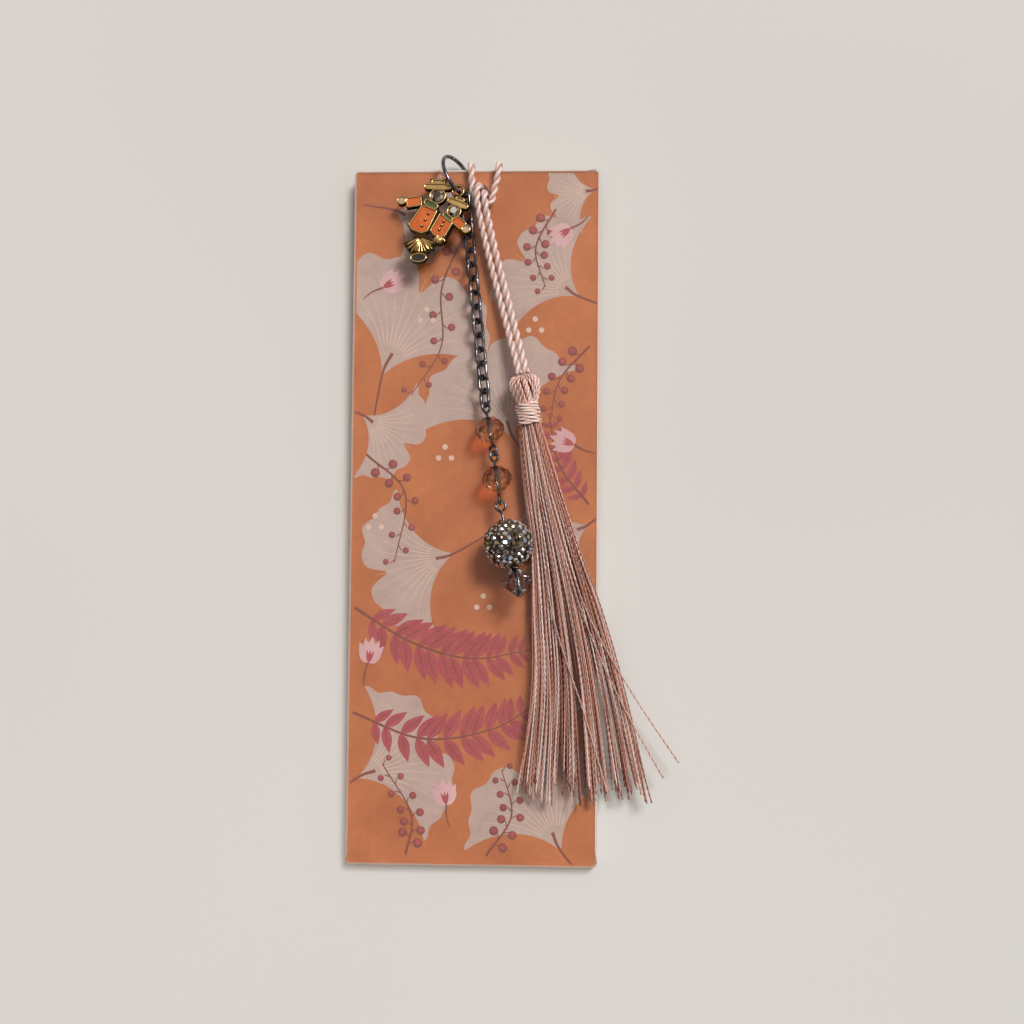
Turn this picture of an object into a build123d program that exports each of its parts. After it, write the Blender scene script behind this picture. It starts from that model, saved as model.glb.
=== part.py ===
from build123d import *
import os
from math import acos, atan, cos, degrees, pi, radians, sin, sqrt, tan

os.makedirs("parts", exist_ok=True)

# A resin bookmark with a printed sheet inside. A jump ring through its hole carries an
# enamelled charm and a cable chain of links, glass beads and a stone-set ball.
# A cord hitched through the same hole carries a silk tassel.
# Millimetres. The back of the slab is z = 0, the hole end is +Y, and the origin is
# the middle of the back.

# Slab
WIDTH = 50.0
LENGTH = 140.0
THICKNESS = 3.0
BASE_THICKNESS = 1.4
SHEET_THICKNESS = 0.2
SHEET_INSET = 0.3
CORNER_RADIUS = 1.0
EDGE_BEVEL = 0.4
HOLE_DIAMETER = 5.0
HOLE_Y = 65.0

# Jump ring, leaning to the left on the web between the hole and the top edge
RING_RADIUS = 4.7
RING_WIRE = 0.8
RING_CENTRE = Vector(-3.82, 68.53, 2.94)
RING_NORMAL = Vector(0.797, 0.406, 0.448).normalized()

# Cable chain
LINK_WIRE = 0.7
LINK_INNER_LENGTH = 2.96
LINK_INNER_WIDTH = 1.6
LINK_PLAY = 0.06
LINK_TILT = 45.0
CHAIN_ON_RING = 16.0
CHAIN_HEADING = 6.2
CHAIN_RISE = [3.0] + [0.0] * 9 + [1.0, 3.0, 7.0, 11.0, 12.5]

# Bead links and dangle
PIN_WIRE = 0.6
WIRE_SIDES = 8
BEND_STEP = 30.0
EYE_RADIUS = 0.95
EYE_NECK_RADIUS = 1.0
EYE_TURN = 312.0
BEAD_BORE_PLAY = 0.06
BEAD_RADIUS = 3.0
BEAD_LENGTH = 4.8
BEAD_SIDES = 10
PIN_UPPER = 5.1
PIN_LOWER = 4.9
PIN_HEADINGS = [10.0, 8.0]
PIN_RISES = [0.5, 2.5]
DANGLE_HEADING = 13.0
DANGLE_RISE = 10.5
DANGLE_UPPER = 8.6
DANGLE_EYE_RADIUS = 1.0
DANGLE_NECK_RADIUS = 1.6
BALL_RADIUS = 5.0
STONE_RADIUS = 0.84
STONE_TABLE = 0.5
STONE_HEIGHT = 0.5
STONE_COUNT = 72
STONE_SIDES = 6
STONE_SPREAD = 0.96
STONE_BED = 0.01
CORE_SIDES = 24
BICONE_RADIUS = 3.0
BICONE_LENGTH = 5.4
BICONE_SIDES = 8
PIN_HEAD_RADIUS = 0.65
PIN_HEAD_THICKNESS = 0.3
STACK_PLAY = 0.1

# Charm
CHARM_ON_RING = 45.0
CHARM_SLOPE_X = 0.10
CHARM_SLOPE_Y = -0.185
CHARM_THICKNESS = 1.1
CELL_DEPTH = 0.3
CELL_RIM = 0.35
BAIL_RADIUS = 1.15
BAIL_WIRE = 0.55
BAIL_LEAN = Vector(0.12, -0.1, 0)
BUTTON_RADIUS = 0.27
BUTTON_SIDES = 8
BUTTON_PROUD = 0.1
ENAMEL_DIP = 0.05
FACE_SIDES = 10
FACE_DRAFT = 40.0

# Cord and tassel
CORD = 1.4
CORD_SIDES = 6
BEND_SHARE = 0.45
HEAD_TOP = Vector(9.75, 27.6, 6.45)
NECK_END = Vector(11.3, 17.4, 5.85)
HEAD_LENGTH = 5.6
NECK_RADIUS = 2.5
WRAP_TURNS = 6
WRAP_WIRE = 0.75
WRAP_DIP = 0.22
TASSEL_SIDES = 20
SKIRT_SIDES = 12


def save(part, name):
    part.label = name
    export_step(part, f"parts/{name}.step")


def heading(turn, rise):
    # A direction down the slab, turned towards +X and lifted, both in degrees
    return Vector(
        sin(radians(turn)) * cos(radians(rise)),
        -cos(radians(turn)) * cos(radians(rise)),
        sin(radians(rise)),
    )


def along(origin, direction, tilt):
    # A plane whose x runs along the direction, with its face rolled about it by tilt
    side = Vector(0, 0, 1).cross(direction).normalized()
    up = direction.cross(side)
    return Plane(origin, x_dir=direction, z_dir=up * cos(radians(tilt)) + side * sin(radians(tilt)))


def cord_radii(points):
    # Each bend is as large as its two runs allow
    radii = []
    for before, here, after in zip(points, points[1:], points[2:]):
        first, second = here - before, after - here
        half_turn = radians(first.get_angle(second)) / 2
        radii.append(BEND_SHARE * min(first.length, second.length) / tan(half_turn))
    return radii


def cord_tube(route, name):
    points = [Vector(*p) for p in route]
    radii = cord_radii(points)
    with BuildPart() as tube:
        with BuildLine() as line:
            FilletPolyline(*points, radius=radii)
        with BuildSketch(Plane(line.line @ 0, z_dir=line.line % 0)) as section:
            RegularPolygon(CORD / 2, CORD_SIDES)
        sweep()
    length = sum(edge.length for edge in line.edges())
    print(f"{name}: {length:.1f} mm, bend radii", [round(r, 1) for r in radii])
    print(f"{name}: volume over section times length {tube.part.volume / (length * section.sketch.area):.3f}")
    return tube.part


# Slab: a cast base, the printed sheet laid on it, and a clear coat poured over both
with BuildPart() as base_slab:
    with BuildSketch():
        RectangleRounded(WIDTH, LENGTH, CORNER_RADIUS)
    extrude(amount=BASE_THICKNESS)
    chamfer(base_slab.edges().group_by(Axis.Z)[0], EDGE_BEVEL)
    with Locations((0, HOLE_Y, BASE_THICKNESS)):
        Hole(HOLE_DIAMETER / 2)
save(base_slab.part, "base_slab")

with BuildPart() as printed_sheet:
    with BuildSketch(Plane.XY.offset(BASE_THICKNESS)):
        Rectangle(WIDTH - 2 * SHEET_INSET, LENGTH - 2 * SHEET_INSET)
        with Locations((0, HOLE_Y)):
            Circle(HOLE_DIAMETER / 2, mode=Mode.SUBTRACT)
    extrude(amount=SHEET_THICKNESS)
save(printed_sheet.part, "printed_sheet")

with BuildPart() as clear_coat:
    with BuildSketch(Plane.XY.offset(BASE_THICKNESS)):
        RectangleRounded(WIDTH, LENGTH, CORNER_RADIUS)
    extrude(amount=THICKNESS - BASE_THICKNESS)
    chamfer(clear_coat.edges().group_by(Axis.Z)[-1], EDGE_BEVEL)
    with BuildSketch(Plane.XY.offset(BASE_THICKNESS)):
        Rectangle(WIDTH - 2 * SHEET_INSET, LENGTH - 2 * SHEET_INSET)
    extrude(amount=SHEET_THICKNESS, mode=Mode.SUBTRACT)
    with Locations((0, HOLE_Y, THICKNESS)):
        Hole(HOLE_DIAMETER / 2)
save(clear_coat.part, "clear_coat")

# Jump ring
RING_ALONG = RING_NORMAL.cross(Vector(0, 0, 1)).normalized()
RING_UP = RING_ALONG.cross(RING_NORMAL)


def on_ring(angle):
    # The middle of the ring's wire, from the hole (0) over the front (90)
    return RING_CENTRE + (RING_ALONG * cos(radians(angle)) + RING_UP * sin(radians(angle))) * RING_RADIUS


with BuildPart() as jump_ring:
    with BuildSketch(Plane(on_ring(0), x_dir=RING_NORMAL, z_dir=RING_UP)):
        RegularPolygon(RING_WIRE / 2, WIRE_SIDES)
    revolve(axis=Axis(RING_CENTRE, RING_NORMAL))
save(jump_ring.part, "jump_ring")


def bent(arc, angle):
    # A bend of wire, drawn as short straight runs
    runs = round(angle / BEND_STEP)
    return Polyline(*[arc @ (k / runs) for k in range(runs + 1)])


# Cable chain: oval links of wire, each turned a quarter from the last
LINK_END_RADIUS = (LINK_INNER_WIDTH + LINK_WIRE) / 2
LINK_STRAIGHT = LINK_INNER_LENGTH + LINK_WIRE - 2 * LINK_END_RADIUS


def chain_link(inner_start, direction, tilt):
    middle = inner_start + direction * (LINK_INNER_LENGTH / 2)
    with BuildPart() as link:
        with BuildLine(along(middle, direction, tilt)):
            upper = Line((0, LINK_END_RADIUS), (LINK_STRAIGHT / 2, LINK_END_RADIUS))
            far = bent(JernArc(upper @ 1, upper % 1, LINK_END_RADIUS, -180, mode=Mode.PRIVATE), 180)
            lower = Line(far @ 1, far @ 1 - (upper @ 1 - upper @ 0) * 2)
            near = bent(JernArc(lower @ 1, lower % 1, LINK_END_RADIUS, -180, mode=Mode.PRIVATE), 180)
            Line(near @ 1, upper @ 0)
        with BuildSketch(Plane(upper @ 0, z_dir=upper % 0)):
            RegularPolygon(LINK_WIRE / 2, WIRE_SIDES)
        sweep(transition=Transition.RIGHT)
    return link.part


inner_start = on_ring(CHAIN_ON_RING) - heading(CHAIN_HEADING, 0) * (RING_WIRE / 2 + LINK_PLAY)
pivots = [on_ring(CHAIN_ON_RING)]
for number, rise in enumerate(CHAIN_RISE, 1):
    direction = heading(CHAIN_HEADING, rise)
    save(
        chain_link(inner_start, direction, -LINK_TILT if number % 2 else LINK_TILT),
        f"chain_link_{number:02d}",
    )
    inner_start = inner_start + direction * (LINK_INNER_LENGTH - LINK_PLAY)
    pivots.append(inner_start)


# Bead links: wire bent into an eye at each end, with a faceted glass bead on it
def eye_reach(radius, neck_radius):
    # From the start of the neck to the middle of the eye, and how far the neck turns
    turn = acos(neck_radius / (neck_radius + radius))
    return (neck_radius + radius) * sin(turn), degrees(turn)


def wire_half(origin, direction, tilt, to_eye, radius, neck_radius):
    # From the origin along a straight shank to the far inside of an eye, to_eye away
    reach, turn = eye_reach(radius, neck_radius)
    shank_length = to_eye - reach - (radius - PIN_WIRE / 2)
    with BuildPart() as half:
        with BuildLine(along(origin, direction, tilt)):
            shank = Line((0, 0), (shank_length, 0))
            neck = JernArc(shank @ 1, shank % 1, neck_radius, turn, mode=Mode.PRIVATE)
            bent(neck, turn)
            bent(JernArc(neck @ 1, neck % 1, radius, -EYE_TURN, mode=Mode.PRIVATE), EYE_TURN)
        with BuildSketch(Plane(shank @ 0, z_dir=shank % 0)):
            RegularPolygon(PIN_WIRE / 2, WIRE_SIDES)
        sweep(transition=Transition.RIGHT)
    return half.part


def facet_bands(stations, sides):
    # Flat facets between polygons given as (height, radius), band by band, each drawn in
    # from its wider end
    with BuildPart() as bands:
        for (near, near_radius), (far, far_radius) in zip(stations, stations[1:]):
            wide, wide_at, sense = near_radius, near, 1
            if far_radius > near_radius:
                wide, wide_at, sense = far_radius, far, -1
            draw_in = abs(near_radius - far_radius) * cos(pi / sides)
            with BuildSketch(Plane((0, 0, wide_at), x_dir=(1, 0, 0), z_dir=(0, 0, sense))):
                RegularPolygon(wide, sides)
            extrude(amount=far - near, taper=degrees(atan(draw_in / (far - near))))
    return bands.part


def faceted_bead(stations, sides):
    # With a bore for the pin
    with BuildPart() as bead:
        add(facet_bands(stations, sides))
        with BuildSketch():
            Circle(PIN_WIRE / 2 + BEAD_BORE_PLAY)
        extrude(amount=BALL_RADIUS, both=True, mode=Mode.SUBTRACT)
    return bead.part


def placed(part, origin, direction):
    # Moved from the origin, with its z along the direction
    return Location(Plane(origin, z_dir=direction)) * part


RONDELLE = [
    (-BEAD_LENGTH / 2, BEAD_RADIUS * 0.5),
    (-BEAD_LENGTH * 0.2, BEAD_RADIUS * 0.93),
    (0, BEAD_RADIUS),
    (BEAD_LENGTH * 0.2, BEAD_RADIUS * 0.93),
    (BEAD_LENGTH / 2, BEAD_RADIUS * 0.5),
]
upper_tilts = [LINK_TILT, LINK_TILT]
lower_tilts = [-LINK_TILT, 90.0]
pin_rows = zip(PIN_HEADINGS, PIN_RISES, upper_tilts, lower_tilts)
for number, (turn, rise, upper_tilt, lower_tilt) in enumerate(pin_rows, 1):
    direction = heading(turn, rise)
    middle = inner_start + direction * PIN_UPPER
    with BuildPart() as eye_pin:
        add(wire_half(middle, direction * -1, -upper_tilt, PIN_UPPER, EYE_RADIUS, EYE_NECK_RADIUS))
        add(wire_half(middle, direction, lower_tilt, PIN_LOWER, EYE_RADIUS, EYE_NECK_RADIUS))
    save(eye_pin.part, f"eye_pin_{number}")
    save(placed(faceted_bead(RONDELLE, BEAD_SIDES), middle, direction), f"bead_{number}")
    inner_start = middle + direction * (PIN_LOWER - LINK_PLAY)
    pivots.append(inner_start)
    print(f"bead_{number} spins about", middle, direction)

# Dangle: a head pin with an eye on top, through a ball set with stones and a bicone
direction = heading(DANGLE_HEADING, DANGLE_RISE)
ball_centre = inner_start + direction * DANGLE_UPPER
bicone_centre = ball_centre + direction * (BALL_RADIUS + BICONE_LENGTH / 2 + STACK_PLAY)
pin_end = bicone_centre + direction * (BICONE_LENGTH / 2 + STACK_PLAY)
with BuildPart() as head_pin:
    add(
        wire_half(
            ball_centre, direction * -1, 0, DANGLE_UPPER, DANGLE_EYE_RADIUS, DANGLE_NECK_RADIUS
        )
    )
    with BuildSketch(Plane(ball_centre, z_dir=direction)):
        RegularPolygon(PIN_WIRE / 2, WIRE_SIDES)
    extrude(amount=(pin_end - ball_centre).length)
    with BuildSketch(Plane(pin_end, z_dir=direction)):
        Circle(PIN_HEAD_RADIUS)
    extrude(amount=PIN_HEAD_THICKNESS)
save(head_pin.part, "head_pin")
print("ball spins about", ball_centre, direction)

CORE_RADIUS = BALL_RADIUS - STONE_HEIGHT - STONE_BED
CORE_STEP = 360 / CORE_SIDES
latitudes = [radians(CORE_STEP / 2 - 90 + CORE_STEP * k) for k in range(CORE_SIDES // 2)]
CORE = [(CORE_RADIUS * sin(angle), CORE_RADIUS * cos(angle)) for angle in latitudes]
save(placed(faceted_bead(CORE, CORE_SIDES), ball_centre, direction), "pave_core")

# Stones in an even spiral over the ball, clear of the two ends of its bore
ball_plane = Plane(ball_centre, z_dir=direction)
STONE_DRAFT = degrees(atan((STONE_RADIUS - STONE_TABLE) * cos(pi / STONE_SIDES) / STONE_HEIGHT))
with BuildPart() as stone:
    with BuildSketch():
        RegularPolygon(STONE_RADIUS, STONE_SIDES)
    extrude(amount=STONE_HEIGHT, taper=STONE_DRAFT)
with BuildPart() as pave_stones:
    for number in range(STONE_COUNT):
        height = STONE_SPREAD * (1 - (2 * number + 1) / STONE_COUNT)
        round_at = number * pi * (3 - sqrt(5))
        level = sqrt(1 - height**2)
        outward = (
            ball_plane.x_dir * (level * cos(round_at))
            + ball_plane.y_dir * (level * sin(round_at))
            + ball_plane.z_dir * height
        )
        add(placed(stone.part, ball_centre + outward * (BALL_RADIUS - STONE_HEIGHT), outward))
save(pave_stones.part, "pave_stones")

BICONE = [
    (-BICONE_LENGTH / 2, BICONE_RADIUS * 0.3),
    (0, BICONE_RADIUS),
    (BICONE_LENGTH / 2, BICONE_RADIUS * 0.3),
]
save(placed(faceted_bead(BICONE, BICONE_SIDES), bicone_centre, direction), "bicone_bead")

# Charm: a pair of straw figures in coats and hats, cast in one piece with sunk cells for enamel
charm_up = Vector(-CHARM_SLOPE_X, -CHARM_SLOPE_Y, 1).normalized()
charm_plane = Plane(
    on_ring(CHARM_ON_RING) + BAIL_LEAN, x_dir=(1, 0, CHARM_SLOPE_X), z_dir=charm_up
)
charm_top = charm_plane.offset(CHARM_THICKNESS / 2)
TALL_COAT = [(-7.1, -3.0), (-9.7, -7.1), (-9.0, -8.2), (-7.1, -9.0), (-5.9, -8.6), (-4.1, -4.35)]
SHORT_COAT = [(-3.4, -5.0), (-5.2, -8.5), (-4.4, -9.6), (-2.3, -9.9), (-0.9, -7.1)]
BUTTONS = [(-5.8, -4.9), (-6.4, -6.2), (-7.0, -7.5), (-2.5, -6.6), (-2.95, -7.5), (-3.4, -8.4)]
TALL_HEAD, TALL_HEAD_RADIUS = (-4.1, -1.1), 1.4
SHORT_HEAD, SHORT_HEAD_RADIUS = (-0.6, -4.5), 1.2
TALL_STRAW, TALL_STRAW_LENGTH = (-7.2, -10.2), 3.4
SHORT_STRAW, SHORT_STRAW_LENGTH = (-3.4, -9.6), 1.9
TALL_STRAW_ANGLES = range(200, 341, 20)
SHORT_STRAW_ANGLES = range(230, 311, 20)
STRAW_WIDTH = 0.8
STRAW_KNOT_RADIUS = 1.5
HAT_BRIDGE, HAT_BRIDGE_SIZE = (-0.15, -1.9), (1.2, 1.9)


def grown(points, amount):
    # A polygon, listed anticlockwise, with each side moved out by the amount
    corners = [Vector(*p) for p in points]
    result = []
    for k, here in enumerate(corners):
        first = (here - corners[k - 1]).normalized()
        second = (corners[(k + 1) % len(corners)] - here).normalized()
        out = Vector(first.Y + second.Y, -first.X - second.X)
        result.append(here + out * (amount / (1 + first.dot(second))))
    return [(p.X, p.Y) for p in result]


def coat_shapes(grow):
    Polygon(*grown(TALL_COAT, grow), align=None)
    Polygon(*grown(SHORT_COAT, grow), align=None)
    with Locations(Location((-8.9, -2.2), 8)):
        Rectangle(2.6 + 2 * grow, 1.6 + 2 * grow)
    with Locations(Location((0.5, -7.0), -43)):
        Rectangle(2.2 + 2 * grow, 1.4 + 2 * grow)


def hat_shapes(grow):
    with Locations(Location((-4.2, 0.95), -4)):
        SlotOverall(5.0 + 2 * grow, 0.8 + 2 * grow)
    with Locations((-4.1, 1.6)):
        Rectangle(2.6 + 2 * grow, 1.4 + 2 * grow)
    with Locations(Location((0.1, -2.85), -24)):
        SlotOverall(4.0 + 2 * grow, 0.75 + 2 * grow)
    with Locations(Location((0.4, -2.25), -24)):
        Rectangle(1.8 + 2 * grow, 0.8 + 2 * grow)


def scarf_shapes(grow):
    with Locations(Location((-5.4, -2.85), -28)):
        SlotOverall(2.6 + 2 * grow, 0.8 + 2 * grow)
    with Locations(Location((-1.83, -5.67), -40)):
        SlotOverall(1.8 + 2 * grow, 0.5 + 2 * grow)


def hand_shapes(grow):
    with Locations((-11.5, -1.8)):
        Circle(0.65 + grow)
    with Locations((2.0, -8.4)):
        Circle(0.62 + grow)


def foot_shapes(grow):
    with Locations((-7.4, -14.3)):
        Ellipse(1.35 + grow, 0.7 + grow)


ENAMELS = {
    "coat": coat_shapes,
    "hat": hat_shapes,
    "scarf": scarf_shapes,
    "hand": hand_shapes,
    "foot": foot_shapes,
}

with BuildPart() as charm_casting:
    with BuildSketch(charm_plane.offset(-CHARM_THICKNESS / 2)):
        for shapes in ENAMELS.values():
            shapes(CELL_RIM)
        with Locations(TALL_HEAD):
            Circle(TALL_HEAD_RADIUS + CELL_RIM)
        with Locations(SHORT_HEAD):
            Circle(SHORT_HEAD_RADIUS + CELL_RIM)
        with Locations(TALL_STRAW):
            Circle(STRAW_KNOT_RADIUS)
        for angle in TALL_STRAW_ANGLES:
            with Locations(Location(TALL_STRAW, angle)):
                with Locations((TALL_STRAW_LENGTH / 2, 0)):
                    Rectangle(TALL_STRAW_LENGTH, STRAW_WIDTH)
        for angle in SHORT_STRAW_ANGLES:
            with Locations(Location(SHORT_STRAW, angle)):
                with Locations((SHORT_STRAW_LENGTH / 2, 0)):
                    Rectangle(SHORT_STRAW_LENGTH, STRAW_WIDTH)
        with Locations(HAT_BRIDGE):
            Rectangle(*HAT_BRIDGE_SIZE)
    extrude(amount=CHARM_THICKNESS)
    with BuildSketch(charm_top):
        for shapes in ENAMELS.values():
            shapes(0)
    extrude(amount=-CELL_DEPTH, mode=Mode.SUBTRACT)
    with BuildSketch(charm_top.offset(-CELL_DEPTH)):
        with Locations(*BUTTONS):
            RegularPolygon(BUTTON_RADIUS, BUTTON_SIDES)
    extrude(amount=CELL_DEPTH + BUTTON_PROUD)
    with BuildSketch(charm_plane):
        Circle(BAIL_RADIUS + BAIL_WIRE / 2)
        Circle(BAIL_RADIUS - BAIL_WIRE / 2, mode=Mode.SUBTRACT)
    extrude(amount=BAIL_WIRE / 2, both=True)
save(charm_casting.part, "charm_casting")

for name, shapes in ENAMELS.items():
    with BuildPart() as enamel:
        with BuildSketch(charm_top.offset(-CELL_DEPTH)):
            shapes(0)
            if name == "coat":
                with Locations(*BUTTONS):
                    RegularPolygon(BUTTON_RADIUS, BUTTON_SIDES, mode=Mode.SUBTRACT)
        extrude(amount=CELL_DEPTH - ENAMEL_DIP)
    save(enamel.part, f"charm_{name}_enamel")

with BuildPart() as charm_stones:
    for centre, radius in ((TALL_HEAD, TALL_HEAD_RADIUS), (SHORT_HEAD, SHORT_HEAD_RADIUS)):
        with BuildSketch(charm_top):
            with Locations(centre):
                RegularPolygon(radius, FACE_SIDES)
        extrude(amount=radius / 2, taper=FACE_DRAFT)
save(charm_stones.part, "charm_stones")

# Cord: both strands of the tassel's loop come up the front, go through the hole, over
# the top edge from behind, and round under themselves
HITCH_LEFT = [
    (0.6, 60.6, 5.2),
    (0.25, 62.5, 5.62),
    (0.15, 64.4, 5.75),
    (0.5, 66.15, 5.4),
    (0.62, 66.42, 3.4),
    (0.62, 66.2, 1.0),
    (0.55, 66.35, -1.0),
    (-0.1, 68.2, -1.2),
    (-0.8, 70.1, -1.05),
    (-1.2, 71.25, -0.3),
    (-1.3, 71.4, 1.5),
    (-1.25, 71.15, 3.4),
    (-1.12, 69.7, 4.0),
]
HITCH_FRONT = [
    (-1.02, 67.7, 3.87),
    (-0.9, 65.8, 3.9),
    (-0.55, 64.0, 3.87),
    (0.35, 62.75, 3.9),
    (1.7, 62.35, 3.87),
    (2.85, 62.95, 3.9),
    (3.4, 64.3, 3.87),
    (3.65, 66.0, 3.9),
    (4.15, 67.8, 3.87),
]
HITCH_RIGHT = [
    (4.4, 69.7, 4.0),
    (4.5, 71.15, 3.4),
    (4.45, 71.4, 1.5),
    (4.3, 71.25, -0.3),
    (3.75, 70.1, -1.05),
    (2.75, 68.0, -1.2),
    (1.8, 65.35, -1.05),
    (1.66, 64.85, 1.0),
    (1.68, 64.95, 3.4),
    (1.68, 64.6, 5.3),
    (1.8, 62.9, 5.75),
    (2.1, 60.9, 5.35),
]
save(cord_tube(HITCH_LEFT + HITCH_FRONT + HITCH_RIGHT, "cord_hitch"), "cord_hitch")

tassel_axis = (NECK_END - HEAD_TOP).normalized()
LEFT_STRAND = [
    (0.82, 59.45, 5.0),
    (2.3, 53.0, 4.25),
    (4.4, 45.0, 3.95),
    (6.7, 36.5, 4.6),
    (9.05, 27.75, 6.4),
]
RIGHT_STRAND = [
    (2.36, 59.75, 5.1),
    (3.85, 53.2, 4.3),
    (5.95, 45.2, 3.95),
    (8.2, 36.7, 4.6),
    (10.5, 27.95, 6.4),
]
with BuildPart() as cord_strands:
    add(cord_tube(LEFT_STRAND, "left strand"))
    add(cord_tube(RIGHT_STRAND, "right strand"))
save(cord_strands.part, "cord_strands")

# Tassel: threads folded over the cord, bound at the neck, and hanging in a skirt
HEAD_PROFILE = [
    (0.35, 1.3),
    (0.75, 2.4),
    (1.5, 3.05),
    (2.5, 3.25),
    (3.6, 3.0),
    (4.7, 2.5),
    (HEAD_LENGTH, 2.2),
]
save(placed(facet_bands(HEAD_PROFILE, TASSEL_SIDES), HEAD_TOP, tassel_axis), "tassel_head")

# Each turn of the binding is a low ridge
ridges = [(HEAD_LENGTH, NECK_RADIUS - WRAP_DIP)]
for turn_number in range(WRAP_TURNS):
    turn_start = HEAD_LENGTH + turn_number * WRAP_WIRE
    ridges.append((turn_start + WRAP_WIRE / 3, NECK_RADIUS))
    ridges.append((turn_start + WRAP_WIRE * 2 / 3, NECK_RADIUS))
    ridges.append((turn_start + WRAP_WIRE, NECK_RADIUS - WRAP_DIP))
save(placed(facet_bands(ridges, TASSEL_SIDES), HEAD_TOP, tassel_axis), "tassel_neck_wrap")

# Skirt stations down the slab: y, left, right, middle height and half thickness
SKIRT = [
    (16.8, 9.4, 13.6, 5.7, 2.0),
    (10.0, 9.6, 15.8, 5.2, 2.05),
    (2.0, 10.3, 18.2, 4.85, 1.75),
    (-8.0, 11.5, 21.5, 4.55, 1.4),
    (-22.0, 11.5, 26.5, 4.45, 1.3),
    (-38.0, 11.3, 31.0, 4.4, 1.25),
    (-57.0, 9.2, 36.0, 4.3, 1.15),
]
with BuildPart() as tassel_skirt:
    for y, left, right, height, half_thickness in SKIRT:
        with BuildSketch(Plane(((left + right) / 2, y, height), x_dir=(1, 0, 0), z_dir=(0, -1, 0))):
            round_at = [2 * pi * (side + 0.5) / SKIRT_SIDES for side in range(SKIRT_SIDES)]
            Polygon(
                *[((right - left) / 2 * cos(angle), half_thickness * sin(angle)) for angle in round_at],
                align=None,
            )
    loft(ruled=True)
save(tassel_skirt.part, "tassel_skirt")

for number, pivot in enumerate(pivots):
    print(f"pivot {number}", pivot)
print("charm hangs at", on_ring(CHARM_ON_RING))
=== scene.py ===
import bpy
import numpy as np
from mathutils import Matrix, Vector


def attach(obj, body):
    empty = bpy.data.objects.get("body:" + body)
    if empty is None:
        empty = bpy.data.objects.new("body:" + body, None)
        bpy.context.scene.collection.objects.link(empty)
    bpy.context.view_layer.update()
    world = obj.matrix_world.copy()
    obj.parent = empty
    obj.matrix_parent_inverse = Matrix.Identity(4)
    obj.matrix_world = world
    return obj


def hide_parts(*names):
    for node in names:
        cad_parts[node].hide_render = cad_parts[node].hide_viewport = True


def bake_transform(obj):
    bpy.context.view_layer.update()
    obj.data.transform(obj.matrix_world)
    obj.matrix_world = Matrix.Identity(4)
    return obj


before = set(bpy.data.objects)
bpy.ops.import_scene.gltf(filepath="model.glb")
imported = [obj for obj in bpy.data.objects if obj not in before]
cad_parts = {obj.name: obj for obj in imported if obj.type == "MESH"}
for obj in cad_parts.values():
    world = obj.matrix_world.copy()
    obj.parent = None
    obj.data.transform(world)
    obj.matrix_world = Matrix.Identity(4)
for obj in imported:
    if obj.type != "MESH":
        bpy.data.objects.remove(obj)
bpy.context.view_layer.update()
mm = 0.001
print("frame loaded:", len(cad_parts), "nodes")


def unit(v):  # each vector over its length
    return v / np.linalg.norm(v, axis=-1, keepdims=True)


def circle(angle):  # points of the unit circle, (..., 2)
    return np.stack([np.cos(angle), np.sin(angle)], axis=-1)


def atHeight(flat, height):  # flat (..., 2) points with a height
    flat = np.asarray(flat, float)
    return np.concatenate([flat, np.full(flat.shape[:-1] + (1,), height)], axis=-1)


def axisOff(v):  # an axis well off each vector: Z, or X where the vector is near Z
    return np.where(np.abs(v[:, 2:]) < 0.9, [[0.0, 0, 1]], [[1.0, 0, 0]])


def hexColor(code):  # sRGB hex to linear RGBA
    srgb = np.array([int(code[k:k + 2], 16) / 255 for k in (1, 3, 5)])
    linear = np.where(srgb <= 0.04045, srgb / 12.92, ((srgb + 0.055) / 1.055) ** 2.4)
    return (*linear.tolist(), 1.0)


def feed(tree, node, inputs):  # a value is set, a socket is linked
    for key, value in inputs.items():
        if isinstance(value, bpy.types.NodeSocket):
            tree.links.new(value, node.inputs[key])
        else:
            node.inputs[key].default_value = value


def addNode(tree, kind, output, inputs=None, stops=(), **settings):
    # One shader node with its settings and links, given back as its output; stops are a colour ramp's
    node = tree.nodes.new("ShaderNode" + kind)
    for key, value in settings.items():
        setattr(node, key, value)
    for k, (place, code) in enumerate(stops):
        elements = node.color_ramp.elements
        element = elements[k] if k < len(elements) else elements.new(place)
        element.position = place
        element.color = hexColor(code)
    feed(tree, node, inputs or {})
    return node.outputs[output]


def newMaterial(name, inputs):  # a Principled material and what is needed to add to it
    material = bpy.data.materials.new(name)
    material.use_nodes = True
    tree = material.node_tree
    shader = tree.nodes["Principled BSDF"]
    feed(tree, shader, inputs)
    return material, tree, shader


def unevenColor(tree, grain, stops, detail, roughness=0.5):
    # Noise with a grain in mm, fixed to the piece, and the colours along it
    place = addNode(tree, "TexCoord", "Object")
    noise = {"Vector": place, "Scale": 1 / (grain * mm), "Detail": detail, "Roughness": roughness}
    uneven = addNode(tree, "TexNoise", "Fac", noise)
    return uneven, addNode(tree, "ValToRGB", "Color", {"Fac": uneven}, stops)


def meshPiece(name, points, faces, material, body, smooth=True):  # points in mm
    mesh = bpy.data.meshes.new(name)
    mesh.from_pydata((np.asarray(points).reshape(-1, 3) * mm).tolist(), [], faces)
    mesh.polygons.foreach_set("use_smooth", [smooth] * len(mesh.polygons))
    mesh.materials.append(material)
    mesh.update()
    piece = bpy.data.objects.new(name, mesh)
    bpy.context.collection.objects.link(piece)
    if body:
        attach(piece, body)
    return piece


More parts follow.
